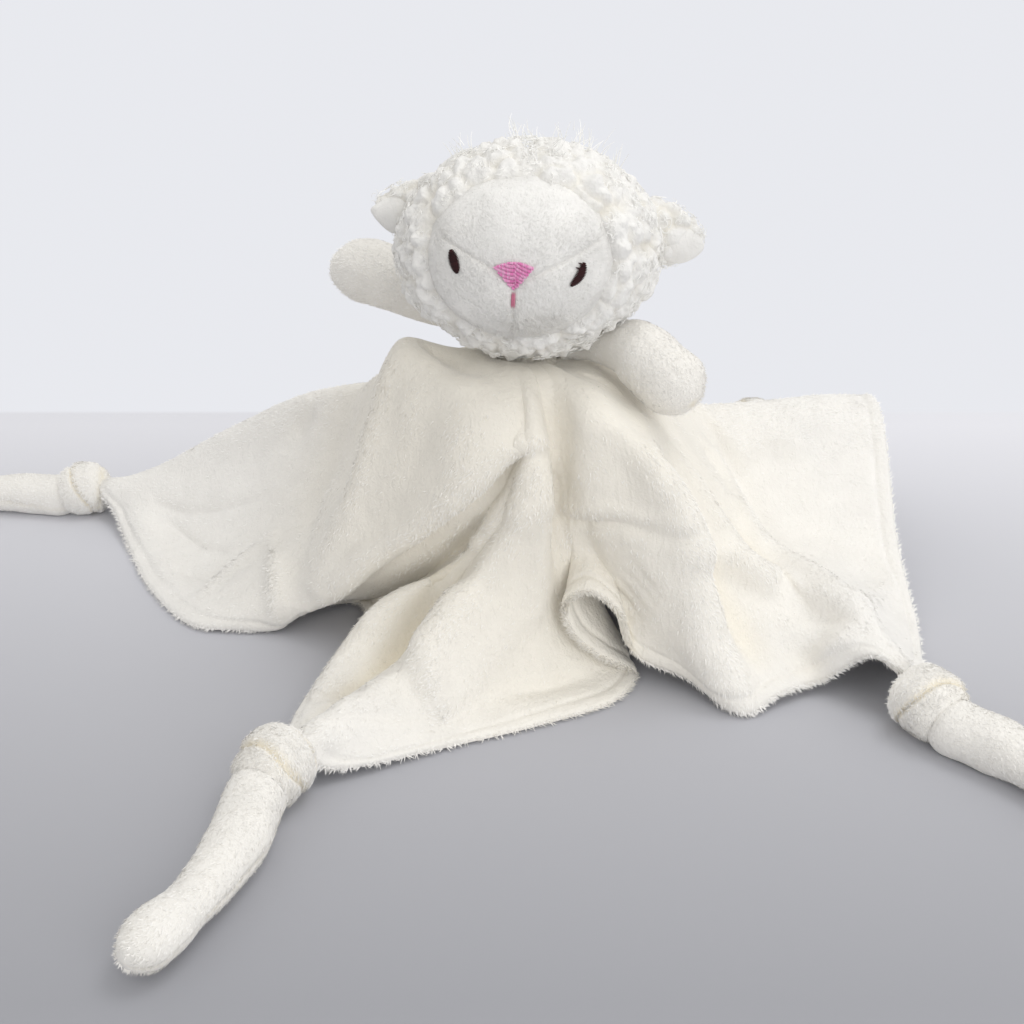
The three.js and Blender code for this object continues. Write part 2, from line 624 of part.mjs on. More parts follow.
function headBody(by, across, down) {
  return ellipsoid(grown(hoodRadii, by), hoodMiddle, across, down)
    .add(ellipsoid(grown(faceRadii, by), faceMiddle, across, down));
}

// A flat outline in the x and z directions, pulled through the head from front to back.
function frontPrism(shape, segments = 12) {
  const prism = new THREE.ExtrudeGeometry(shape, {
    depth: hoodRadii[1] + faceRadii[1],
    bevelEnabled: false,
    curveSegments: segments,
  });
  prism.rotateX(Math.PI / 2);
  prism.translate(0, faceCenter[1], clothHeight);
  return solidOf(prism);
}

// A slit as wide as the fit gap from one point to another in the front view.
function seamSlit([x1, z1], [x2, z2]) {
  const length = Math.hypot(x2 - x1, z2 - z1);
  const slit = new THREE.BoxGeometry(length, 4 * faceRadii[1], fitGap);
  slit.rotateY(-Math.atan2(z2 - z1, x2 - x1));
  slit.translate((x1 + x2) / 2, faceCenter[1] - 2 * faceRadii[1], clothHeight + (z1 + z2) / 2);
  return solidOf(slit);
}

function faceOutline(by) {
  const outline = new THREE.Shape();
  const [x, z] = faceSeamCenter;
  outline.absellipse(x, z, faceHalfWidth + by, faceHalfHeight + by, 0, 2 * Math.PI);
  return frontPrism(outline, 10);
}

const filling = headBody(-coverThickness - fitGap, 14, 10);
const shell = headBody(0, 20, 14).subtract(headBody(-coverThickness, 14, 10));
const neckSocket = ball(neckBallRadius + ballClearance, neckPivot);

// Ears lie in the plane of x and z, with a bead that turns in a groove of the hood.
const earShapes = {};
for (const [side, { base, rise }] of Object.entries({ left: leftEar, right: rightEar })) {
  const outward = side === "left" ? -1 : 1;
  const tilt = -outward * rise;
  const place = (solid) => turned(solid, new THREE.Vector3(0, 1, 0), tilt, [0, 0, 0])
    .translate(...aboveCloth(base));
  const bead = (radius, length) => {
    const shape = new THREE.CylinderGeometry(radius, radius, length, 14);
    shape.rotateX(Math.PI / 2);
    return place(solidOf(shape));
  };
  const headRoom = ellipsoid(grown(hoodRadii, earStandOff), hoodMiddle, 20, 14);
  const flap = place(ellipsoid(earRadii, [0, 0, 0], 14, 8)).subtract(headRoom);
  const liningAt = [outward * earLiningOut, -earLiningLift, 0];
  const lining = place(ellipsoid(earLiningRadii, liningAt, 12, 6)).subtract(headRoom);
  const liningRoom = place(ellipsoid(grown(earLiningRadii, fitGap), liningAt, 12, 6));
  earShapes[side] = {
    groove: bead(earBeadRadius + ballClearance, earBeadLength + 2 * ballClearance),
    fleece: flap.add(bead(earBeadRadius, earBeadLength)).subtract(liningRoom),
    lining,
  };
}
const grooves = earShapes.left.groove.add(earShapes.right.groove);

addPiece("head_filling", filling.subtract(neckSocket).subtract(grooves), stuffing);

const crownSlit = block(fitGap, 4 * hoodRadii[1], 4 * hoodRadii[2], hoodMiddle);
const hoodHalves = shell.subtract(faceOutline(fitGap / 2)).subtract(crownSlit)
  .subtract(neckSocket).subtract(grooves).decompose();
hoodHalves.sort((a, b) => b.volume() - a.volume());
hoodHalves.slice(0, 2).sort((a, b) => a.boundingBox().min[0] - b.boundingBox().min[0])
  .forEach((half, i) => addPiece(["left_hood_half", "right_hood_half"][i], half, fleece));

const noseTip = [noseX, noseTipHeight];
const seamJoint = [noseX, noseTipHeight + noseHeight / 4];
const seamReach = 2 * faceHalfWidth;
const seamTop = seamJoint[1] + sideSeamSlope * seamReach;
const slits = seamSlit(seamJoint, [noseX - seamReach, seamTop])
  .add(seamSlit(seamJoint, [noseX + seamReach, seamTop]))
  .add(seamSlit(seamJoint, [noseX, seamJoint[1] - 2 * faceHalfHeight]));
const panels = shell.intersect(faceOutline(-fitGap / 2)).subtract(slits).decompose();
panels.sort((a, b) => b.volume() - a.volume());
const faceParts = panels.slice(0, 3);
faceParts.sort((a, b) => b.boundingBox().max[2] - a.boundingBox().max[2]);
const cheeks = faceParts.slice(1).sort((a, b) => a.boundingBox().min[0] - b.boundingBox().min[0]);
addPiece("forehead_panel", faceParts[0], faceVelour);
addPiece("left_cheek_panel", cheeks[0], faceVelour);
addPiece("right_cheek_panel", cheeks[1], faceVelour);

// Embroidery stands on the face panels
const threadLayer = headBody(fitGap + threadThickness, 20, 14).subtract(headBody(fitGap, 20, 14));
const noseShape = new THREE.Shape();
noseShape.moveTo(...noseTip);
noseShape.quadraticCurveTo(
  noseX + noseWidth / 2, noseTipHeight + noseHeight / 2,
  noseX + noseWidth / 2, noseTipHeight + noseHeight * noseSideShare,
);
noseShape.quadraticCurveTo(
  noseX, noseTipHeight + noseHeight * noseCrownShare,
  noseX - noseWidth / 2, noseTipHeight + noseHeight * noseSideShare,
);
noseShape.quadraticCurveTo(
  noseX - noseWidth / 2, noseTipHeight + noseHeight / 2,
  ...noseTip,
);
addPiece("nose_embroidery", threadLayer.intersect(frontPrism(noseShape, 6)), pinkThread);

const mouthTop = noseTipHeight - fitGap * 2;
const mouthShape = new THREE.Shape();
mouthShape.moveTo(noseX - mouthWidth / 2, mouthTop);
mouthShape.lineTo(noseX - mouthWidth / 2, mouthTop - mouthLength);
mouthShape.lineTo(noseX + mouthWidth / 2, mouthTop - mouthLength);
mouthShape.lineTo(noseX + mouthWidth / 2, mouthTop);
mouthShape.closePath();
addPiece("mouth_stitch", threadLayer.intersect(frontPrism(mouthShape)), pinkThread);

const eyes = { left: [eyeLeft, eyeSlantDegrees], right: [eyeRight, -eyeSlantDegrees] };
for (const [side, [[x, rise], slant]] of Object.entries(eyes)) {
  const eye = new THREE.Shape();
  const turn = THREE.MathUtils.degToRad(slant);
  const height = noseTipHeight + rise;
  eye.absellipse(x, height, eyeRadii[0], eyeRadii[1], 0, 2 * Math.PI, false, turn);
  addPiece(side + "_eye_embroidery", threadLayer.intersect(frontPrism(eye, 7)), darkThread);
}

for (const [side, { fleece: cover, lining }] of Object.entries(earShapes)) {
  addPiece(side + "_ear_fleece", cover, fleece);
  addPiece(side + "_ear_lining", lining, faceVelour);
}

// Arms: two panels sewn round a stuffing, turning on a ball beside the neck. Everything that the
// head sweeps as it turns and nods is cut out of them.
function headSweep(by) {
  const swings = [-1, 0, 1].flatMap((turn) => [-1, 0, 1].map((nod) => [turn, nod]));
  return swings.map(([turn, nod]) => {
    const head = ellipsoid(grown(hoodRadii, armHeadClearance + by), hoodMiddle, 20, 14);
    const nodded = turned(head, new THREE.Vector3(1, 0, 0), nod * headSwingDegrees, neckPivot);
    return turned(nodded, new THREE.Vector3(0, 0, 1), turn * headSwingDegrees, neckPivot);
  }).reduce((all, one) => all.add(one));
}

const arms = {
  left: {
    radius: leftArmRadius,
    routeShares: [[-0.24, 0.18, 0.13], [-0.4, 0.25, 0.2], [-0.57, 0.3, 0.25], [-0.74, 0.34, 0.27]],
  },
  right: {
    radius: rightArmRadius,
    routeShares: [[0.25, -0.04, 0.08], [0.38, -0.13, 0.1], [0.48, -0.23, 0.04], [0.57, -0.33, -0.03]],
  },
};
const limbShares = [0.06, 0.2, 0.35, 0.5, 0.65, 0.78, 0.88, 0.95, 0.99];
const limbSwellShares = [0.25, 0.45, 0.75, 0.94, 1, 1, 0.92, 0.7, 0.35];
const limbHeadRoom = [0, armPanelThickness, armPanelThickness + fitGap].map(headSweep);
for (const [side, { radius, routeShares }] of Object.entries(arms)) {
  const root = armRoots[side].point;
  const points = [new THREE.Vector3(...root), ...routeShares.map((p) =>
    new THREE.Vector3(p[0] * clothSpread, p[1] * clothSpread, (1 + p[2]) * clothHeight))];
  const curve = new THREE.CatmullRomCurve3(points, false, "centripetal");
  const limb = (inset, ends, room) => stuffedTube(
    curve,
    limbShares.slice(ends, limbShares.length - ends),
    (share) => radius * limbSwellShares[limbShares.indexOf(share)] - inset,
    10,
    ends,
  ).subtract(limbHeadRoom[room]);
  const seam = seamRibbon(curve, radius);
  const casing = limb(0, 0, 0).subtract(limb(armPanelThickness, 1, 1)).subtract(seam).decompose();
  casing.sort((a, b) => b.volume() - a.volume());
  const [upper, under] = casing.slice(0, 2).sort((a, b) => middleHeight(b) - middleHeight(a));
  const rootRoom = ball(armBallRadius + fitGap, root);
  addPiece(side + "_arm_upper_panel", upper.subtract(rootRoom), velour);
  addPiece(side + "_arm_under_panel", under.add(ball(armBallRadius, root)), velour);
  const stuffed = limb(armPanelThickness + fitGap, 1, 2).subtract(rootRoom).decompose();
  stuffed.sort((a, b) => b.volume() - a.volume());
  addPiece(side + "_arm_filling", stuffed[0], stuffing);
}

lovey.position.set(originShare[0] * clothSpread, originShare[1] * clothSpread, 0);
export default lovey;
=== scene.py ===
import math

import bpy
import numpy as np
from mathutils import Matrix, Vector
from mathutils.bvhtree import BVHTree
from mathutils.kdtree import KDTree


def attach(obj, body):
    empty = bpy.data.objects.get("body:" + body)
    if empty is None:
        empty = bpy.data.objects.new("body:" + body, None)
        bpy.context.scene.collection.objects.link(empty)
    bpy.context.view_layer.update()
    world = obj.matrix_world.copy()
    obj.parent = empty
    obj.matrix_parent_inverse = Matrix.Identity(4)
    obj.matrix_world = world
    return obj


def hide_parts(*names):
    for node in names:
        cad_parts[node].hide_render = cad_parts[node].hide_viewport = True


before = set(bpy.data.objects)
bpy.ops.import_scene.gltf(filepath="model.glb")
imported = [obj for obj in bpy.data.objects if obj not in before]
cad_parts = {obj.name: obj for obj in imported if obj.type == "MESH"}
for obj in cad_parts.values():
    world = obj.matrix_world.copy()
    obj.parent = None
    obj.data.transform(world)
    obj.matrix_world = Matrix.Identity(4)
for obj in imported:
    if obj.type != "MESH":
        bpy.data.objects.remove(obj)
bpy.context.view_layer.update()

# Shapes are worked out in millimetres from the neck, which stands over x = 0, y = 0, with the
# face looking along -Y. The finished meshes are in metres and stand with the CAD model.
neckInModel = (0.051, 0.0, 0.0)
clothTop = 100  # height of the cloth at the neck
seedNumber = 11
chance = np.random.default_rng(seedNumber)


def inMetres(points):
    return np.asarray(points) / 1000 + neckInModel


def unit(vectors):
    length = np.linalg.norm(vectors, axis=-1, keepdims=True)
    return vectors / np.maximum(length, 1e-9)


def smoothStep(low, high, value):
    t = np.clip((value - low) / (high - low), 0, 1)
    return t * t * (3 - 2 * t)


def bell(distance, width):
    return np.exp(-((distance / width) ** 2))


# Soft noise between -1 and 1 over points in space: a value mixed from each lattice cell's
# numbers, and smooth between the cells
def latticeValue(cell, seed):
    mixed = cell[..., 0] * 374761393 + cell[..., 1] * 668265263 + cell[..., 2] * 1103515245
    mixed = (mixed + seed * 974634777) & 0xFFFFFFFF
    mixed = ((mixed ^ (mixed >> 13)) * 1274126177) & 0xFFFFFFFF
    return ((mixed ^ (mixed >> 16)) & 0xFFFF) / 32767.5 - 1


def softNoise(points, size, seed=1):
    scaled = np.asarray(points) / size
    cell = np.floor(scaled).astype(np.int64)
    part = scaled - cell
    part = part * part * (3 - 2 * part)
    total = np.zeros(scaled.shape[:-1])
    for corner in np.ndindex(2, 2, 2):
        weight = np.prod(np.where(corner, part, 1 - part), axis=-1)
        total += weight * latticeValue(cell + corner, seed)
    return total


# Lumps and wrinkles: layers of soft noise, each with its height, size and seed
def lumps(points, layers):
    return sum(height * softNoise(points, size, seed) for height, size, seed in layers)


# Curves and grids
def splineBetween(p0, p1, p2, p3, t):
    def gap(a, b):
        return np.maximum(np.linalg.norm(b - a, axis=-1, keepdims=True), 1e-4) ** 0.5

    d0, d1, d2 = gap(p0, p1), gap(p1, p2), gap(p2, p3)
    leave = ((p1 - p0) / d0 - (p2 - p0) / (d0 + d1) + (p2 - p1) / d1) * d1
    arrive = ((p2 - p1) / d1 - (p3 - p1) / (d1 + d2) + (p3 - p2) / d2) * d1
    cubic = 2 * p1 - 2 * p2 + leave + arrive
    square = -3 * p1 + 3 * p2 - 2 * leave - arrive
    return ((cubic * t + square) * t + leave) * t + p1


# Points on a smooth line through the given points, at places counted in those points
def lineThrough(points, places):
    points = np.asarray(points, float)
    before = 2 * points[..., :1, :] - points[..., 1:2, :]
    after = 2 * points[..., -1:, :] - points[..., -2:-1, :]
    padded = np.concatenate([before, points, after], axis=-2)
    last = points.shape[-2] - 2
    found = []
    for place in places:
        i = min(int(place), last)
        four = [padded[..., i + k, :] for k in range(4)]
        found.append(splineBetween(*four, place - i))
    return np.stack(found, axis=-2)


def evenly(line, count):
    steps = np.linalg.norm(np.diff(line, axis=0), axis=1)
    travelled = np.concatenate([[0], np.cumsum(steps)])
    wanted = np.linspace(0, travelled[-1], count)
    return np.stack([np.interp(wanted, travelled, line[:, k]) for k in range(3)], axis=1)


def gridQuads(rows, columns, closedRows=False, closedColumns=False):
    r = np.arange(rows if closedRows else rows - 1)
    c = np.arange(columns if closedColumns else columns - 1)
    a, b = np.meshgrid(r, c, indexing="ij")
    nextA, nextB = (a + 1) % rows, (b + 1) % columns
    corners = [a * columns + b, nextA * columns + b, nextA * columns + nextB, a * columns + nextB]
    return np.stack(corners, axis=-1).reshape(-1, 4)


def gridNormals(grid, closedRows=False):
    if closedRows:
        downRows = np.roll(grid, -1, axis=0) - np.roll(grid, 1, axis=0)
    else:
        downRows = np.gradient(grid, axis=0)
    return unit(np.cross(downRows, np.gradient(grid, axis=1)))


# A mesh object from millimetre points
def makePiece(name, points, faces, material, masks=None, smooth=True):
    mesh = bpy.data.meshes.new(name)
    count, corners = faces.shape
    mesh.vertices.add(len(points))
    mesh.vertices.foreach_set("co", inMetres(points).astype(np.float32).ravel())
    mesh.loops.add(count * corners)
    mesh.loops.foreach_set("vertex_index", faces.astype(np.int32).ravel())
    mesh.polygons.add(count)
    mesh.polygons.foreach_set("loop_start", np.arange(0, count * corners, corners, dtype=np.int32))
    mesh.update(calc_edges=True)
    (mesh.shade_smooth if smooth else mesh.shade_flat)()
    for maskName, values in (masks or {}).items():
        layer = mesh.attributes.new(maskName, "FLOAT", "POINT")
        layer.data.foreach_set("value", np.asarray(values, np.float32).ravel())
    mesh.materials.append(material)
    piece = bpy.data.objects.new(name, mesh)
    bpy.context.scene.collection.objects.link(piece)
    return piece


# Faces turned, all together, to the side that is wanted
def facing(points, faces, wanted):
    a, b, c = (points[faces[:, k]] for k in range(3))
    return faces if np.sum(np.cross(b - a, c - a) * wanted) > 0 else faces[:, ::-1]


def ballGrid(down, around, downTo=math.pi, side=1):
    p = np.linspace(0, downTo, down)[:, None]
    q = np.linspace(0, 2 * math.pi, around, endpoint=False)[None, :]
    over = [side * np.cos(p) * np.ones_like(q), np.sin(p) * np.cos(q), np.sin(p) * np.sin(q)]
    return np.stack(over, axis=2)


# A piece from a grid that closes round its middle, with its faces turned outwards
def roundPiece(name, grid, middle, material, masks=None):
    points = grid.reshape(-1, 3)
    quads = gridQuads(*grid.shape[:2], closedColumns=True)
    quads = facing(points, quads, points[quads[:, 0]] - middle)
    return makePiece(name, points, quads, material, masks)


# Which body carries a piece and what it replaces; what it is made of and how full it is if padded are
# not used
def fitPiece(piece, body, slotName, *nodes, fill=None):
    if nodes:
        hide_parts(*nodes)
    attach(piece, body)


# Short tapering hairs: one triangle each, from a root along a direction
def hairPiece(name, roots, directions, lengths, widths, lean, material, masks):
    sides = unit(np.cross(directions, lean + 0.25 * chance.normal(size=roots.shape)))
    half = sides * (widths / 2)[:, None]
    tips = roots + directions * lengths[:, None]
    points = np.stack([roots - half, roots + half, tips], axis=1).reshape(-1, 3)
    faces = np.arange(len(points)).reshape(-1, 3)
    spread = {key: np.repeat(value, 3) for key, value in masks.items()}
    return makePiece(name, points, faces, material, spread)


# Hairs brushed flat along a direction, and lifted a little off the surface
def brushedFlat(direction, outward, lift):
    flat = direction - outward * np.sum(direction * outward, axis=1, keepdims=True)
    return unit(outward * lift + unit(flat))


# Curly fibres: thin three-sided tubes along the given paths, an array of fibre, point, xyz
def fibrePiece(name, paths, widths, lean, material, masks):
    fibres, knots = paths.shape[:2]
    along = np.gradient(paths, axis=1)
    sides = unit(np.cross(along, lean[:, None, :] + 0.5 * chance.normal(size=(fibres, 1, 3))))
    tipShare, flatness = 0.35, 0.7
    taper = np.linspace(1, tipShare, knots)
    over = unit(np.cross(along, sides))
    half = (widths[:, None] * taper / 2)[:, :, None]
    turns = (math.pi / 2, -math.pi * 5 / 6, -math.pi / 6)
    corners = [(math.cos(turn), flatness * math.sin(turn)) for turn in turns]
    tubes = [paths + half * (a * sides + b * over) for a, b in corners]
    points = np.stack(tubes, axis=2).reshape(-1, 3)
    rings = gridQuads(knots, 3, closedColumns=True)
    faces = (np.arange(fibres)[:, None, None] * knots * 3 + rings).reshape(-1, 4)
    faces = facing(points, faces, points[faces[:, 0]] - paths.reshape(-1, 3)[faces[:, 0] // 3])
    spread = {key: np.repeat(value, knots * 3) for key, value in masks.items()}
    return makePiece(name, points, faces, material, spread, smooth=False)


# Finish: shared shader groups first, then one material for each stuff
def newGroup(name, inputs, outputs):
    group = bpy.data.node_groups.new(name, "ShaderNodeTree")
    for socketName, kind, value in inputs:
        socket = group.interface.new_socket(socketName, in_out="INPUT", socket_type=kind)
        socket.default_value = value
    for socketName, kind in outputs:
        group.interface.new_socket(socketName, in_out="OUTPUT", socket_type=kind)
    return group


def addNode(tree, kind, inputs=None, **settings):
    node = tree.nodes.new(kind)
    for key, value in settings.items():
        setattr(node, key, value)
    for key, value in (inputs or {}).items():
        node.inputs[key].default_value = value
    return node


def rangeNode(tree, limits, **settings):
    low, high = limits
    return addNode(tree, "ShaderNodeMapRange", {"From Min": low, "From Max": high}, **settings)


def wire(tree, *joins):
    for fromNode, output, toNode, socket in joins:
        tree.links.new(fromNode.outputs[output], toNode.inputs[socket])


# Short pile: fine grain over longer brushed streaks. Height feeds a bump, Tone the colour.
def pileGroup():
    group = newGroup(
        "pile",
        [("Position", "NodeSocketVector", (0, 0, 0)), ("Grain", "NodeSocketFloat", 900.0),
         ("Stretch", "NodeSocketVector", (1, 1, 1))],
        [("Height", "NodeSocketFloat"), ("Tone", "NodeSocketFloat")],
    )
    entry = addNode(group, "NodeGroupInput")
    leave = addNode(group, "NodeGroupOutput")
    stretched = addNode(group, "ShaderNodeVectorMath", operation="MULTIPLY")
    grain = addNode(group, "ShaderNodeTexNoise", {"Detail": 3.0, "Roughness": 0.6})
    streaks = addNode(group, "ShaderNodeTexNoise", {"Scale": 420.0, "Detail": 2.0, "Distortion": 0.6})
    patches = addNode(group, "ShaderNodeTexNoise", {"Scale": 95.0, "Detail": 3.0})
    both = addNode(group, "ShaderNodeMath", {1: 0.6}, operation="MULTIPLY_ADD")
    wire(group, (entry, "Position", grain, "Vector"), (entry, "Grain", grain, "Scale"),
         (entry, "Position", stretched, 0), (entry, "Stretch", stretched, 1),
         (stretched, 0, streaks, "Vector"), (entry, "Position", patches, "Vector"),
         (grain, "Fac", both, 0), (streaks, "Fac", both, 2),
         (both, 0, leave, "Height"), (patches, "Fac", leave, "Tone"))
    return group


# Colour from a lit side, a deep fold colour mixed in by a per-point value (painted shade on cloth and
# fleece, random tone on threads), and a mottle between two tones
def toneGroup():
    group = newGroup(
        "clothTone",
        [("Lit", "NodeSocketColor", (1, 1, 1, 1)), ("Deep", "NodeSocketColor", (1, 1, 1, 1)),
         ("ToneAndShade", "NodeSocketFloat", 0.0), ("Tone", "NodeSocketFloat", 0.5),
         ("Mottle", "NodeSocketFloat", 0.1)],
        [("Color", "NodeSocketColor")],
    )
    entry = addNode(group, "NodeGroupInput")
    leave = addNode(group, "NodeGroupOutput")
    blend = addNode(group, "ShaderNodeMix", data_type="RGBA")
    shade = rangeNode(group, (0.3, 0.7))
    dimmest = addNode(group, "ShaderNodeMath", {0: 1.0}, operation="SUBTRACT")
    scaled = addNode(group, "ShaderNodeVectorMath", operation="SCALE")
    wire(group, (entry, "Lit", blend, "A"), (entry, "Deep", blend, "B"),
         (entry, "ToneAndShade", blend, "Factor"), (entry, "Mottle", dimmest, 1),
         (entry, "Tone", shade, "Value"), (dimmest, 0, shade, "To Min"),
         (blend, "Result", scaled, 0), (shade, "Result", scaled, "Scale"),
         (scaled, 0, leave, "Color"))
    return group


pile = pileGroup()
clothTone = toneGroup()


softCloth = {
    "Roughness": 0.95, "Specular IOR Level": 0.15, "Sheen Weight": 0.35, "Sheen Roughness": 0.45,
}
plainLook = {"bump": 0.6, "grain": 900.0, "stretch": (1.0, 1.0, 1.0), "surface": softCloth}


# A stuff: its lit and deep colour (the deep one is painted shade where it follows folds), the mottle
# over them, how rough its nap is and how it runs
def clothMaterial(name, **given):
    look = {**plainLook, **given}
    material = bpy.data.materials.new(name)
    material.use_nodes = True
    tree = material.node_tree
    tree.nodes.clear()
    output = addNode(tree, "ShaderNodeOutputMaterial")
    surface = addNode(tree, "ShaderNodeBsdfPrincipled", look["surface"])
    place = addNode(tree, "ShaderNodeTexCoord")
    toneAndShade = addNode(tree, "ShaderNodeAttribute", attribute_name="toneAndShade")
    nap = addNode(tree, "ShaderNodeGroup", node_tree=pile)
    tone = addNode(tree, "ShaderNodeGroup", node_tree=clothTone)
    for node, names in ((nap, ("Grain", "Stretch")), (tone, ("Lit", "Deep", "Mottle"))):
        for socketName in names:
            node.inputs[socketName].default_value = look[socketName.lower()]
    bump = addNode(tree, "ShaderNodeBump", {"Strength": look["bump"], "Distance": 0.001})
    wire(tree, (place, "Object", nap, "Position"), (toneAndShade, "Fac", tone, "ToneAndShade"),
         (nap, "Tone", tone, "Tone"), (nap, "Height", bump, "Height"),
         (tone, "Color", surface, "Base Color"), (bump, "Normal", surface, "Normal"),
         (surface, "BSDF", output, "Surface"))
    return material


# velour's deep colour is a warm cream of painted shade, for the folds and round the neck
velour = clothMaterial("ivoryVelour", lit=(0.905, 0.89, 0.86, 1), deep=(0.88, 0.8, 0.62, 1),
                       mottle=0.05, grain=1200.0, stretch=(1.0, 1.0, 0.35))
pileHair = clothMaterial("velourPile", lit=(0.95, 0.94, 0.92, 1), deep=(0.91, 0.86, 0.75, 1),
                         mottle=0.03, bump=0.0, grain=1300.0)
# fleece's deep colour is painted shade between the curls
fleece = clothMaterial("curlyFleece", lit=(0.9, 0.89, 0.865, 1), deep=(0.82, 0.78, 0.68, 1),
                       mottle=0.06)
# a lighter copy of the fleece: painted light, to offset the shade among the fibres
paintedLitFleece = clothMaterial("paintedLitFleeceCurls", lit=(0.95, 0.945, 0.925, 1), deep=(0.9, 0.88, 0.83, 1),
                           mottle=0.02, bump=0.0)
# faceVelour's deep colour is painted shade along the face's seams, and random tone on the chin's
# hairs
faceVelour = clothMaterial("faceVelour", lit=(0.92, 0.91, 0.885, 1), deep=(0.8, 0.78, 0.73, 1),
                           mottle=0.1, bump=0.45, grain=1100.0, stretch=(1.0, 1.0, 0.5))
stitched = {"bump": 0.3, "grain": 2600.0}
glossyThread = {"Roughness": 0.42, "Specular IOR Level": 0.5, "Sheen Weight": 0.2}
dullThread = {"Roughness": 0.6, "Specular IOR Level": 0.25}
# pinkThread's pale colour stands in for painted glints, on stitches picked at random
pinkThread = clothMaterial("pinkThread", lit=(1.0, 0.56, 0.8, 1), deep=(0.92, 0.24, 0.58, 1),
                           mottle=0.12, stretch=(1.0, 1.0, 3.0), surface=glossyThread, **stitched)
mouthThread = clothMaterial("mouthThread", lit=(0.82, 0.36, 0.46, 1), deep=(0.6, 0.16, 0.27, 1),
                            mottle=0.12, stretch=(1.0, 1.0, 3.0), **stitched)
darkThread = clothMaterial("darkThread", lit=(0.055, 0.014, 0.016, 1), deep=(0.02, 0.006, 0.007, 1),
                           mottle=0.3, stretch=(3.0, 1.0, 1.0), surface=dullThread, **stitched)
stuffing = clothMaterial("stuffing", lit=(0.86, 0.86, 0.84, 1), deep=(0.7, 0.7, 0.68, 1),
                         mottle=0.1, grain=700.0)
print("materials made")


